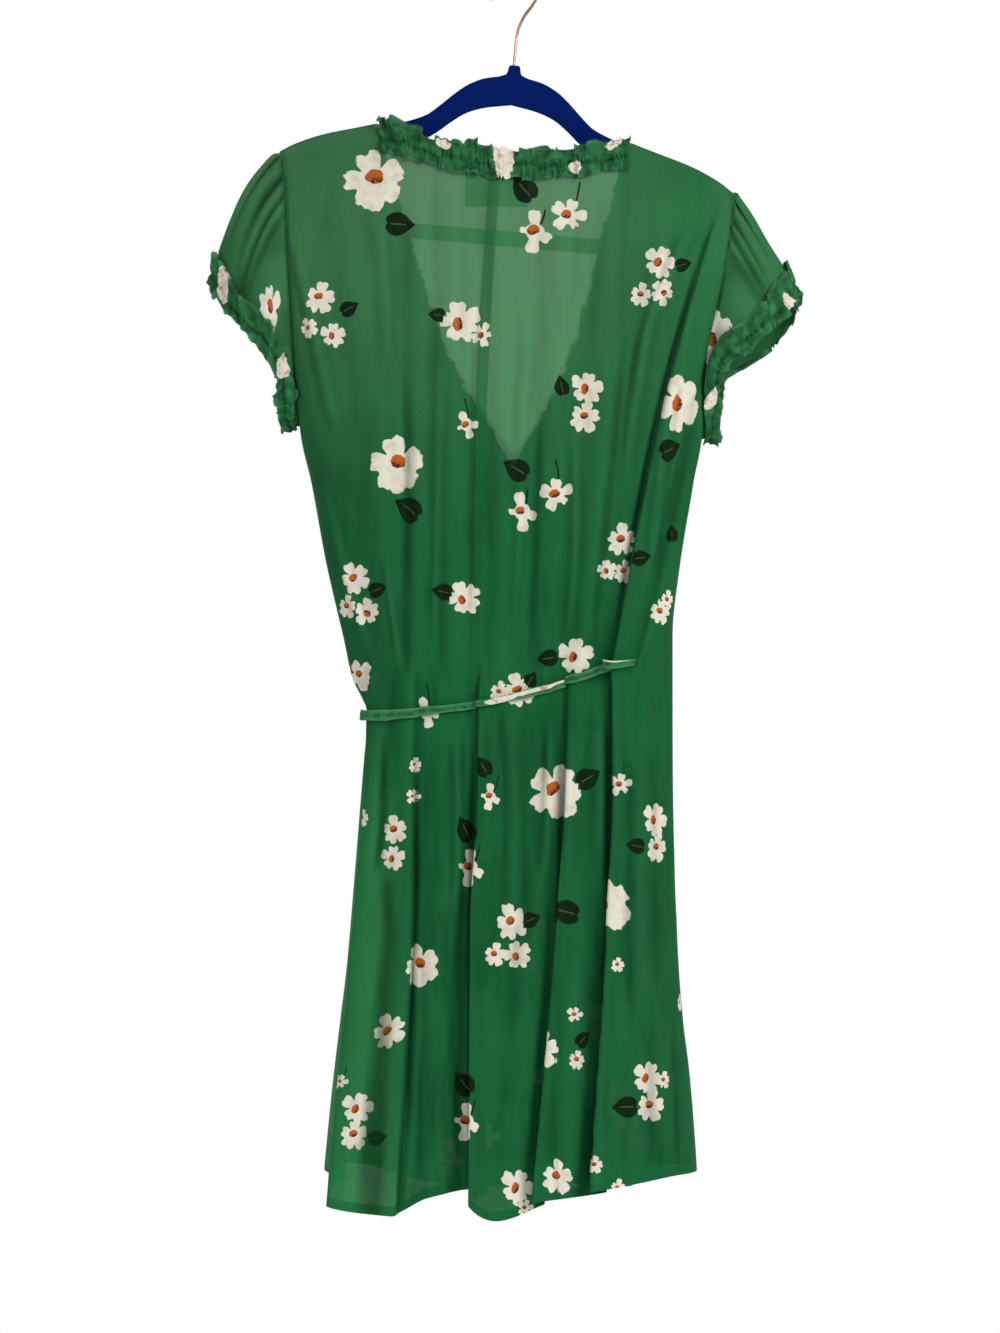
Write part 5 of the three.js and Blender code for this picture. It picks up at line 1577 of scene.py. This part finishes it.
class ThreadRow:
    """Short threads along lines, made by a Geometry Nodes tree: frayed edges and stitches."""

    INPUTS = (("Spacing", 0.001), ("Length", 0.003), ("Radius", 0.0001), ("Spread", 0.6))

    def __init__(self, material: bpy.types.Material) -> None:
        """Builds the tree."""
        self.material = material
        tree = bpy.data.node_groups.new("thread_row", "GeometryNodeTree")
        face = tree.interface
        face.new_socket("Geometry", in_out="INPUT", socket_type="NodeSocketGeometry")
        face.new_socket("Geometry", in_out="OUTPUT", socket_type="NodeSocketGeometry")
        self.sockets = {}
        for name, value in self.INPUTS:
            socket = face.new_socket(name, in_out="INPUT", socket_type="NodeSocketFloat")
            socket.default_value = value
            self.sockets[name] = socket.identifier
        seed = face.new_socket("Seed", in_out="INPUT", socket_type="NodeSocketInt")
        self.sockets["Seed"] = seed.identifier
        finish = face.new_socket("Finish", in_out="INPUT", socket_type="NodeSocketMaterial")
        self.sockets["Finish"] = finish.identifier
        self.tree = tree
        start, end = tree.nodes.new("NodeGroupInput"), tree.nodes.new("NodeGroupOutput")

        def node(kind: str, inputs: dict, **settings: object) -> bpy.types.Node:
            """Adds a node with its settings, and the values or links of its inputs."""
            made = tree.nodes.new(kind)
            for key, value in settings.items():
                setattr(made, key, value)
            for key, value in inputs.items():
                if isinstance(value, bpy.types.NodeSocket):
                    tree.links.new(value, made.inputs[key])
                else:
                    made.inputs[key].default_value = value
            return made

        given = start.outputs
        curve = node("GeometryNodeMeshToCurve", {"Mesh": given["Geometry"]})
        line = node("GeometryNodeResampleCurve", {"Curve": curve.outputs[0], "Length": given["Spacing"]}, mode="LENGTH")
        way = node("GeometryNodeInputNamedAttribute", {"Name": "way"}, data_type="FLOAT_VECTOR")
        stray = node("FunctionNodeRandomValue", {"Min": (-1, -1, -1), "Seed": given["Seed"]}, data_type="FLOAT_VECTOR")
        spread = node("ShaderNodeVectorMath", {0: stray.outputs[0], "Scale": given["Spread"]}, operation="SCALE")
        aim = node("ShaderNodeVectorMath", {0: way.outputs[0], 1: spread.outputs[0]}, operation="ADD")
        turned = node("FunctionNodeAlignRotationToVector", {"Vector": aim.outputs[0]}, axis="Z")
        thin = node("ShaderNodeMath", {0: given["Radius"], 1: 0.6}, operation="MULTIPLY")
        shape = {"Vertices": 3, "Radius Bottom": given["Radius"], "Radius Top": thin.outputs[0],
                 "Depth": given["Length"]}
        thread = node("GeometryNodeMeshCone", shape, fill_type="NGON")
        size = node("FunctionNodeRandomValue", {2: 0.45, 3: 1.1, "Seed": given["Seed"]}, data_type="FLOAT")
        places = {"Points": line.outputs[0], "Instance": thread.outputs["Mesh"], "Rotation": turned.outputs[0],
                  "Scale": size.outputs[1]}
        put = node("GeometryNodeInstanceOnPoints", places)
        real = node("GeometryNodeRealizeInstances", {0: put.outputs[0]})
        coat = node("GeometryNodeSetMaterial", {"Geometry": real.outputs[0], "Material": given["Finish"]})
        tree.links.new(coat.outputs[0], end.inputs[0])

    def build(self, name: str, lines: Sequence[tuple], spacing: float, length: float, radius: float,
              spread: float) -> bpy.types.Object:
        """Puts threads along lines.

        Args:
            name: The piece's name.
            lines: For each line its points in millimetres, the way its threads point, and if it closes.
            spacing: Distance between threads, in millimetres.
            length: Their length.
            radius: Their radius.
            spread: How far they stray from their way.

        Returns:
            The piece, riding with the body.
        """
        coords, ways, edges, first = [], [], [], 0
        for points, way, closed in lines:
            count = len(points)
            coords.append(points * MM)
            ways.append(way)
            edges += [(first + n, first + n + 1) for n in range(count - 1)]
            edges += [(first + count - 1, first)] if closed else []
            first += count
        mesh = bpy.data.meshes.new(f"{name}_lines")
        mesh.from_pydata(np.concatenate(coords).tolist(), edges, [])
        way_data = np.concatenate(ways).astype(np.float32).ravel()
        mesh.attributes.new("way", "FLOAT_VECTOR", "POINT").data.foreach_set("vector", way_data)
        carrier = bpy.data.objects.new(f"{name}_lines", mesh)
        bpy.context.scene.collection.objects.link(carrier)
        modifier = carrier.modifiers.new("threads", "NODES")
        modifier.node_group = self.tree
        values = {"Spacing": spacing * MM, "Length": length * MM, "Radius": radius * MM, "Spread": spread,
                  "Seed": SEED, "Finish": self.material}
        for key, value in values.items():
            modifier[self.sockets[key]] = value
        thing = baked(name, carrier)
        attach(thing, BODY)
        log.info("%s: %d faces", name, len(thing.data.polygons))
        return thing


def baked(name: str, carrier: bpy.types.Object) -> bpy.types.Object:
    """Turns an object with live modifiers or a curve into a plain mesh piece, and removes the object."""
    bpy.context.view_layer.update()
    graph = bpy.context.evaluated_depsgraph_get()
    mesh = bpy.data.meshes.new_from_object(carrier.evaluated_get(graph), depsgraph=graph)
    mesh.name = name
    bpy.data.objects.remove(carrier)
    thing = bpy.data.objects.new(name, mesh)
    bpy.context.scene.collection.objects.link(thing)
    return thing


class Station(NamedTuple):
    """A place along the tie: share of its run, x, z, share of its full width and lift."""

    along: float
    x: float
    z: float
    width: float
    lift: float


TIE_RUN = (
    Station(0, 107, -600, 0.5, 2.5),
    Station(0.12, 86, -604, 0.75, 4.8),
    Station(0.26, 60, -613, 0.8, 0.5),
    Station(0.4, 24, -624, 0.7, 0),
    Station(0.55, -17, -635, 0.55, 0),
    Station(0.75, -64, -641, 0.7, 0),
    Station(1, -106, -646, 1, 0.4),
)


@dataclass
class Tie:
    """The tie: across the back, round the left side to its knot on the front, and its two ends."""

    form: DressForm
    width: float = 9.5
    thick: float = 0.8
    lift: float = 3.5
    front_lift: float = 1.6
    knot_x: float = -100
    knot_z: float = -646
    knot_wide: float = 8.5
    knot_deep: float = 4.2
    knot_high: float = 6.5
    tail: float = 210
    rows: int = 9

    def strip(self, name: str, layer_shares: tuple, z: np.ndarray, width: np.ndarray, lift: np.ndarray,
              patches: tuple, finish: bpy.types.Material) -> bpy.types.Object:
        """Makes a strip along stations.

        Args:
            name: The node that it stands for.
            layer_shares: For each station whether it lies on the back, and its share.
            z: The stations' heights.
            width: Their widths.
            lift: How far they lie off the cloth.
            patches: White patches of the print.
            finish: The material.

        Returns:
            The piece.
        """
        on_back, share = layer_shares
        edge = np.linspace(1, -1, self.rows)[:, None]
        t = np.linspace(0, 1, len(z))[None, :]
        level = z + edge * width / 2 * (1 + 0.07 * np.sin(t * 37 + 1))
        shares = np.broadcast_to(share, level.shape)
        crown = 0.9 * (1 - edge**2) - 0.7 * np.exp(-((edge - 0.25 * np.sin(t * 19)) ** 2) / 0.03)
        uneven = 0.35 * np.sin(t * 61 + edge * 2)
        high = np.broadcast_to(lift + crown * np.minimum(1, width / 8) + uneven, level.shape)
        back = self.form.cloth(Layer.BACK, shares, level, high)
        front = self.form.cloth(Layer.FRONT_RIGHT, shares, level, high)
        points = np.where(np.broadcast_to(on_back, level.shape)[..., None], back, front)
        patch = np.zeros(level.shape)
        for white in patches:
            patch = np.maximum(patch, white.over(t, edge))
        free = (1 - np.abs(edge)) * self.width / 2 * MM
        # the third value is painted shade towards the strip's edges and in its groove
        cloth = np.stack(np.broadcast_arrays(patch, free, 0.6 * (1 - crown) / 2), -1)
        thing = wall(name, points, self.thick, verts={"cloth": cloth})
        thing.data.materials.append(finish)
        dress(thing, name, "tie_cloth")
        run = float(np.linalg.norm(np.diff(points[self.rows // 2], axis=0), axis=-1).sum()) * MM
        return thing

    def long(self, finish: bpy.types.Material) -> bpy.types.Object:
        """The long strip, from its slit in the right side to the knot."""
        run = Table(TIE_RUN)
        t = np.linspace(0, 1, 230)
        x, z, width, lift = (run.column(t, name) for name in ("x", "z", "width", "lift"))
        share = self.form.share_at(x, z)
        beside_knot = np.array(self.knot_x - self.knot_wide - 0.5)
        knot_share = float(self.form.share_at(beside_knot, np.array(self.knot_z)))
        s = np.linspace(0, 1, 46)[1:]
        turned = mix(share[-1], -2 - knot_share, s)
        on_back = np.concatenate([np.ones(len(t), bool), turned >= -1])
        rise = self.form.wrap_space / 2 * ease((turned - share[-1]) / (-1 - share[-1]))
        rounded = np.where(turned < -1, lift[-1], lift[-1] + rise)
        return self.strip(
            "waist_tie_long", (on_back, np.concatenate([share, np.where(turned < -1, -2 - turned, turned)])),
            np.concatenate([z, mix(z[-1], self.knot_z, s)]),
            np.concatenate([width, mix(width[-1], 0.7, s)]) * self.width,
            self.lift + np.concatenate([lift, rounded]),
            (Patch(0.3, 0.05, 0.6, 0.3), Patch(0.37, 0.06, 0.3, 0.45), Patch(0.43, 0.035, 0.0, 0.9),
             Patch(0.08, 0.06, 0.75, 0.2)), finish)

    def short(self, finish: bpy.types.Material) -> bpy.types.Object:
        """The short strip, from the right front's corner down to the knot."""
        t = np.linspace(0, 1, 24)
        z = mix(-612, self.knot_z + self.knot_high + self.width / 2 + 0.6, t)
        share = self.form.share_at(mix(-104, self.knot_x, t), z)
        flat = np.full(len(t), self.front_lift)
        return self.strip("waist_tie_short", (np.zeros(len(t), bool), share), z, mix(0.9, 0.7, t) * self.width,
                          flat, (), finish)

    def tail_end(self, name: str, sway: float, length: float, finish: bpy.types.Material) -> bpy.types.Object:
        """An end of the tie, which hangs from the knot."""
        t = np.linspace(0, 1, int(length / 2))[:, None]
        edge = np.linspace(-1, 1, self.rows)[None, :]
        z = self.knot_z - self.knot_high - 0.4 - t * length + 0 * edge
        x = self.knot_x + sway * (6 + 14 * t) + edge * self.width * 0.425 + 1.5 * np.sin(t * 6 + sway)
        crown = 0.8 * (1 - edge**2) + 0.5 * np.sin(t * 11 + edge)
        points = self.form.cloth(Layer.FRONT_RIGHT, self.form.share_at(x, z), z, 2.8 + crown)
        # the third value is painted shade, darker where the crown stands highest
        cloth = np.stack(np.broadcast_arrays(0 * z, (1 - np.abs(edge)) * 0.004 + 0 * z, 0.2 * crown), -1)
        thing = wall(name, points, self.thick, verts={"cloth": cloth})
        thing.data.materials.append(finish)
        dress(thing, name, "tie_cloth")
        area = area_of(points) * MM * MM
        flat = (max(0.01, area / (length * MM)), length * MM)
        min(area, flat[0] * flat[1])
        return thing

    def knot(self, finish: bpy.types.Material) -> bpy.types.Object:
        """The knot: a band wound once round the strips, with the grooves between its turns."""
        x, z = np.array([self.knot_x]), np.array([self.knot_z])
        at = self.form.cloth(Layer.FRONT_RIGHT, self.form.share_at(x, z), z, 1.1 + self.knot_deep)[0]
        shell = bmesh.new()
        bmesh.ops.create_uvsphere(shell, u_segments=64, v_segments=40, radius=1.0)
        half = np.array([self.knot_wide, self.knot_deep, self.knot_high])
        layer = shell.verts.layers.float_vector.new("cloth")
        for vert in shell.verts:
            p = np.array(vert.co)
            slope = p[2] + 0.45 * p[0]
            grooves = math.exp(-((slope - 0.42) / 0.09) ** 2) + math.exp(-((slope + 0.38) / 0.08) ** 2)
            cross = math.exp(-((p[0] - 0.5 * p[2] + 0.1) / 0.12) ** 2) * (1 if abs(slope) > 0.4 else 0)
            size = 1 - 0.2 * grooves - 0.1 * cross + 0.03 * math.sin(9 * p[0] + 5 * p[2])
            vert.co = (at + p * half * size) * MM
            # the third value is painted shade in the grooves between the band's turns
            vert[layer] = (0.0, 0.01, min(1.0, grooves + cross))
        mesh = bpy.data.meshes.new("tie_knot")
        shell.to_mesh(mesh)
        shell.free()
        thing = placed("tie_knot.shown", mesh)
        thing.data.materials.append(finish)
        dress(thing, "tie_knot", "tie_cloth")
        return thing


@dataclass
class NeckLabel:
    """The blank label inside the back neck."""

    form: DressForm
    left: float = -42
    right: float = 12
    top: float = -173
    bottom: float = -208
    lift: float = -2.4

    def build(self, finish: bpy.types.Material) -> bpy.types.Object:
        """Makes the label."""
        heights, places = np.linspace(self.top, self.bottom, 16), np.linspace(self.left, self.right, 26)
        z, x = np.meshgrid(heights, places, indexing="ij")
        points = self.form.cloth(Layer.BACK, self.form.share_at(x, z), z, np.full(x.shape, self.lift))
        thing = wall("neck_label", points, 0.6)
        thing.data.materials.append(finish)
        dress(thing, "neck_label", "label_cloth")
        (self.right - self.left) * MM
        (self.top - self.bottom) * MM
        return thing


@dataclass
class Hanger:
    """The flocked hanger: an arch and two arms over a trouser bar, and its wire hook."""

    form: DressForm
    thick: float = 5.5
    round_edge: float = 1.7
    end: float = 198
    bar_end: float = 150
    bar_top: float = 135
    bar_bottom: float = 148
    wire: float = 3.0
    hook_radius: float = 20.6

    def arm_line(self, start: float, stop: float, edge: float) -> list:
        """Points of the arm's upper or lower edge, from start to stop outwards."""
        outs = np.linspace(start, stop, 44)
        drop, thick = self.form.arm.column(outs, "drop"), self.form.arm.column(outs, "thick")
        return list(zip(outs.tolist(), (-drop - edge * thick).tolist()))

    def body(self, finish: bpy.types.Material) -> bpy.types.Object:
        """Makes the moulding from its outline and its opening."""
        nub = [(0, 8.5), (3.4, 8.4), (4.7, 7.4), (5.2, 5.4), (5.7, 2.4), (6.8, 0.3), (9.2, -0.8)]
        tip = [(self.end, -91.5), (199.2, -95), (199, -99), (196.6, -103), (self.end - 6, -106.4)]
        foot = [(self.bar_end + 12, -141), (self.bar_end + 6.5, -145.6), (self.bar_end, -self.bar_bottom)]
        right = [*nub, *self.arm_line(13, 191, 0), *tip, *foot]
        left = [(-x, z) for x, z in reversed(right[1:])]
        under = [*self.arm_line(0, 160, 1), (166, -93.5), (170.6, -97.6), (171.4, -102), (168, -107.5),
                 (149, -129.5), (145.4, -133.2), (140, -135)]
        hole = [*under, *[(-x, z) for x, z in reversed(under[1:])]]
        curve = bpy.data.curves.new("hanger_outline", "CURVE")
        curve.dimensions, curve.fill_mode = "2D", "BOTH"
        edge = self.round_edge
        curve.extrude = (self.thick / 2 - edge) * MM
        curve.bevel_depth, curve.bevel_resolution, curve.offset = edge * MM, 3, -edge * MM
        for loop in (right + left, hole):
            spline = curve.splines.new("POLY")
            spline.points.add(len(loop) - 1)
            for point, (x, z) in zip(spline.points, loop):
                point.co = (x * MM, z * MM, 0, 1)
            spline.use_cyclic_u = True
        carrier = bpy.data.objects.new("hanger_outline", curve)
        bpy.context.scene.collection.objects.link(carrier)
        thing = baked("hanger_body.shown", carrier)
        shell = bmesh.new()
        shell.from_mesh(thing.data)
        bmesh.ops.remove_doubles(shell, verts=shell.verts, dist=2e-6)
        sin, cos = math.sin(self.form.tilt), math.cos(self.form.tilt)
        for vert in shell.verts:
            x, z, y = vert.co
            vert.co = (x * cos + z * sin, -y, self.form.arch_top * MM + z * cos - x * sin)
        bmesh.ops.recalc_face_normals(shell, faces=shell.faces)
        shell.to_mesh(thing.data)
        shell.free()
        thing.data.shade_smooth()
        thing.data.set_sharp_from_angle(angle=math.radians(40))
        thing.data.materials.clear()
        thing.data.materials.append(finish)
        dress(thing, "hanger_body", "flocked_hanger")
        return thing

    def hook(self, finish: bpy.types.Material) -> bpy.types.Object:
        """Makes the bent wire."""
        centre = self.wire / 2 - self.hook_radius
        turns = np.radians(np.linspace(-36, 205, 17))
        path = [(-0.3, -83.9), (1.2, -69), (2.6, -57), (7.4, -44.5)]
        path += list(zip(self.hook_radius * np.cos(turns), centre + self.hook_radius * np.sin(turns)))
        curve = bpy.data.curves.new("hook_line", "CURVE")
        curve.dimensions, curve.bevel_resolution, curve.use_fill_caps = "3D", 7, True
        curve.bevel_depth, curve.resolution_u = self.wire / 2 * MM, 10
        spline = curve.splines.new("BEZIER")
        spline.bezier_points.add(len(path) - 1)
        for point, (x, z) in zip(spline.bezier_points, path):
            point.co = (x * MM, 0, z * MM)
            point.handle_left_type = point.handle_right_type = "AUTO"
        carrier = bpy.data.objects.new("hook_line", curve)
        bpy.context.scene.collection.objects.link(carrier)
        thing = baked("hanger_hook.shown", carrier)
        shell = bmesh.new()
        shell.from_mesh(thing.data)
        bmesh.ops.remove_doubles(shell, verts=shell.verts, dist=2e-6)
        bmesh.ops.recalc_face_normals(shell, faces=shell.faces)
        shell.to_mesh(thing.data)
        shell.free()
        thing.data.shade_smooth()
        thing.data.set_sharp_from_angle(angle=math.radians(50))
        thing.data.materials.clear()
        thing.data.materials.append(finish)
        dress(thing, "hanger_hook", "plated_wire")
        return thing


@dataclass
class Dress:
    """The whole dress: its panels, sleeves, ruffles and tie."""

    form: DressForm
    printer: Printer = field(default_factory=Printer)

    def seam(self, name: str) -> Line:
        """A back seam's line, as share at a height."""
        return lambda z: self.form.share_at(self.form.seams.column(z, name), z)

    def wrap(self, name: str) -> Line:
        """A front edge's line, as share at a height."""
        return lambda z: self.form.share_at(self.form.wraps.column(z, name), z)

    def panels(self, finish: bpy.types.Material) -> None:
        """Makes the ten panels."""
        form = self.form
        left, right = (lambda z: -1.0 + 0 * z), (lambda z: 1.0 + 0 * z)
        centre, inner_left, inner_right = self.seam("centre"), self.seam("left"), self.seam("right")
        hem_back, hem_front = (lambda x: form.hem.column(x, "back")), (lambda x: form.hem.column(x, "front"))
        bodice = {"low": form.waist, "high": form.cloth_top, "turn": form.shoulder_turn,
                  "middle": -400.0, "tall": 450.0, "hollows": 0.5}
        back, skirt = {"low": hem_back, "high": form.waist}, {"low": hem_front, "high": form.waist}
        wrap_left, wrap_right = self.wrap("left"), self.wrap("right")
        for panel in (
            Panel("bodice_back_left", Layer.BACK, left, centre, **bodice),
            Panel("bodice_back_right", Layer.BACK, centre, right, **bodice),
            Panel("skirt_back_side_left", Layer.BACK, left, inner_left, **back),
            Panel("skirt_back_centre_left", Layer.BACK, inner_left, centre, **back),
            Panel("skirt_back_centre_right", Layer.BACK, centre, inner_right, **back),
            Panel("skirt_back_side_right", Layer.BACK, inner_right, right, **back),
            Panel("bodice_front_left", Layer.FRONT_LEFT, left, wrap_left, step=2.5, shift=(20, 30), **bodice),
            Panel("bodice_front_right", Layer.FRONT_RIGHT, wrap_right, right, step=2.5, shift=(110, 80), **bodice),
            Panel("skirt_front_left", Layer.FRONT_LEFT, left, wrap_left, step=2.6, shift=(60, 10), **skirt),
            Panel("skirt_front_right", Layer.FRONT_RIGHT, wrap_right, right, step=2.6, shift=(0, 120), **skirt),
        ):
            panel.build(form, self.printer, finish)

    def sleeve_ruffle(self, sleeve: Sleeve, patches: tuple, peaks: tuple) -> Ruffle:
        """The ruffle round a sleeve's cuff."""

        def surface(t: np.ndarray, reach: np.ndarray, lift: np.ndarray) -> np.ndarray:
            """Points of the cloth along the strip, a reach across it and a lift off what it lies on."""
            turn = t * 2 * np.pi
            length = np.linalg.norm(sleeve.cuff(turn) - sleeve.armhole(turn), axis=-1)
            stitch = 1 - np.minimum(6 / length, 0.35)
            down = stitch - np.minimum(np.maximum(reach, 0) / length, stitch * 0.55)
            normal, along = sleeve.frame(turn, down)
            beyond = np.maximum(-reach, 0)
            point = sleeve.base(turn, down) + normal * lift[..., None]
            return point + along * beyond[..., None]

        word = sleeve.side.word
        return Ruffle(f"cuff_ruffle_{word}", 13, 12, 11, 2.1, 2.0, 330, surface, ring=True, patches=patches,
                      peaks=peaks, carrier=f"sleeve_{word}", seed=10 + sleeve.side.value)

    def neck_ruffle(self) -> Ruffle:
        """The ruffle along the back neck."""

        def surface(t: np.ndarray, reach: np.ndarray, lift: np.ndarray) -> np.ndarray:
            """Points of the cloth along the strip, a reach across it and a lift off what it lies on."""
            x = mix(self.form.neck_left + 3, self.form.neck_right - 3, t)
            z = self.form.cloth_top(x) - 9 + reach
            return self.form.cloth(Layer.BACK, self.form.share_at(x, z), z, lift)

        patches = (Patch(0.5, 0.036), Patch(0.79, 0.024, -0.4, 0.35), Patch(0.93, 0.03, 0.8, 0.4),
                   Patch(0.26, 0.024, 0.6, 0.3))
        peaks = (Peak(0.07, 0.05, 8, 6), Peak(0.15, 0.03, 5, 4), Peak(0.38, 0.03, 6, 2), Peak(0.9, 0.05, 3, 2))
        return Ruffle("neck_ruffle_back", 13, 13, 15, 2.4, 1.5, 235, surface, patches=patches, peaks=peaks,
                      seed=3)

    def wrap_ruffle(self, layer: Layer, stop: float, clear: float) -> Ruffle:
        """The ruffle along a front's crossing edge."""
        form, inward = self.form, -layer.value[1]
        word = "left" if inward > 0 else "right"
        neck = form.neck_left if inward > 0 else form.neck_right
        start = float(form.cloth_top(np.array([neck]))[0]) - 7

        def surface(t: np.ndarray, reach: np.ndarray, lift: np.ndarray) -> np.ndarray:
            """Points of the cloth along the strip, a reach across it and a lift off what it lies on."""
            z = mix(start, stop, t)
            edge = form.wraps.column(z, word)
            slope = (form.wraps.column(z + 4, word) - form.wraps.column(z - 4, word)) / 8
            long = np.hypot(1, slope)
            away_x, away_z = inward / long, -slope * inward / long
            x, level = edge + away_x * (reach - 7), z + away_z * (reach - 7)
            return form.cloth(layer, form.share_at(x, level), level, lift)

        waves, length = (16, 290) if inward > 0 else (26, 500)
        return Ruffle(f"neck_ruffle_{word}", waves, 10, 12, 2.2, clear, length, surface,
                      carrier=f"bodice_front_{word}", seed=20 + inward,
                      patches=(Patch(0.3, 0.02, 0.4, 0.7), Patch(0.7, 0.015, -0.4, 0.6)))

    def build(self) -> None:
        """Makes every piece of the dress."""
        printed, gathered = PrintedChiffon().build(), RuffleChiffon().build()
        threads = ThreadRow(THREAD.build())
        self.panels(printed)
        left = Sleeve(Side.LEFT, self.form, puff=(-17, 12), belly=(-4, 9))
        right = Sleeve(Side.RIGHT, self.form, puff=(-4, 8), belly=(3, 9))
        for sleeve in (left, right):
            sleeve.build(self.printer, printed)
        left_patches = (Patch(0.07, 0.025, 0.2, 0.8), Patch(0.33, 0.02, 0.0, 0.7))
        right_patches = (Patch(0.08, 0.022, -0.3, 0.6), Patch(0.38, 0.02, 0.0, 0.6))
        self.sleeve_ruffle(left, left_patches, (Peak(0.02, 0.03, 4, 2),)).build(gathered, threads)
        self.sleeve_ruffle(right, right_patches, (Peak(0.98, 0.03, 5, 2),)).build(gathered, threads)
        self.neck_ruffle().build(gathered, threads)
        self.wrap_ruffle(Layer.FRONT_LEFT, -404, 0.9).build(gathered, threads)
        self.wrap_ruffle(Layer.FRONT_RIGHT, -588, 2.4).build(gathered, threads)
        tie = Tie(self.form)
        tie.long(gathered)
        tie.short(gathered)
        tie.knot(gathered)
        tie.tail_end("tie_tail_long", -1, tie.tail, gathered)
        tie.tail_end("tie_tail_short", 1, tie.tail * 0.86, gathered)
        NeckLabel(self.form).build(LABEL_TAPE.build())


class Lamp(NamedTuple):
    """A square lamp: its place and size in metres, its turn in degrees and its power in watts."""

    name: str
    place: tuple
    turn: tuple
    size: float
    power: float


@dataclass(frozen=True)
class Studio:
    """A pale floor and soft light."""

    floor_z: float = -1.42
    floor_half: float = 1.6
    world_strength: float = 0.4  # of its light; the camera sees it as white paper
    key_power: float = 48.0
    side_power: float = 14.0

    def build(self) -> None:
        """Makes the floor, the lights and the world."""
        world = bpy.data.worlds.new("studio")
        world.use_nodes = True
        nodes, links = world.node_tree.nodes, world.node_tree.links
        light, paper = nodes["Background"], nodes.new("ShaderNodeBackground")
        for sky, strength in ((light, self.world_strength), (paper, 1.0)):
            sky.inputs["Color"].default_value = (1.0, 1.0, 1.0, 1.0)
            sky.inputs["Strength"].default_value = strength
        path, either = nodes.new("ShaderNodeLightPath"), nodes.new("ShaderNodeMixShader")
        links.new(path.outputs["Is Camera Ray"], either.inputs[0])
        links.new(light.outputs[0], either.inputs[1])
        links.new(paper.outputs[0], either.inputs[2])
        links.new(either.outputs[0], nodes["World Output"].inputs["Surface"])
        bpy.context.scene.world = world
        shell = bmesh.new()
        bmesh.ops.create_grid(shell, x_segments=12, y_segments=12, size=self.floor_half)
        for vert in shell.verts:
            vert.co.z = self.floor_z
        mesh = bpy.data.meshes.new("floor")
        shell.to_mesh(mesh)
        shell.free()
        mesh.materials.append(FLOOR.build())
        floor = bpy.data.objects.new("floor", mesh)
        bpy.context.scene.collection.objects.link(floor)
        for lamp in (
            Lamp("key", (1.9, -1.9, 0.6), (63, 0, 45), 1.1, self.key_power),
            Lamp("fill", (-1.6, -2.4, -0.2), (80, 0, -34), 1.8, self.side_power),
            Lamp("front", (-1.5, 2.1, 0.6), (63, 0, 215), 1.1, self.key_power),
            Lamp("front_fill", (1.8, 2.2, -0.2), (80, 0, 141), 1.8, self.side_power),
        ):
            data = bpy.data.lights.new(lamp.name, "AREA")
            data.size, data.energy = lamp.size, lamp.power
            thing = bpy.data.objects.new(lamp.name, data)
            thing.location = lamp.place
            thing.rotation_euler = tuple(math.radians(angle) for angle in lamp.turn)
            bpy.context.scene.collection.objects.link(thing)
        bpy.context.scene.view_settings.view_transform = "Standard"


def main() -> None:
    """Builds the scene."""
    logging.basicConfig(level=logging.INFO, format="%(name)s: %(message)s")
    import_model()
    EYE.build()
    Studio().build()
    form = DressForm()
    hanger = Hanger(form)
    hanger.body(FLOCK.build())
    hanger.hook(COPPER_WIRE.build())
    Dress(form).build()


if __name__ == "__main__":
    main()
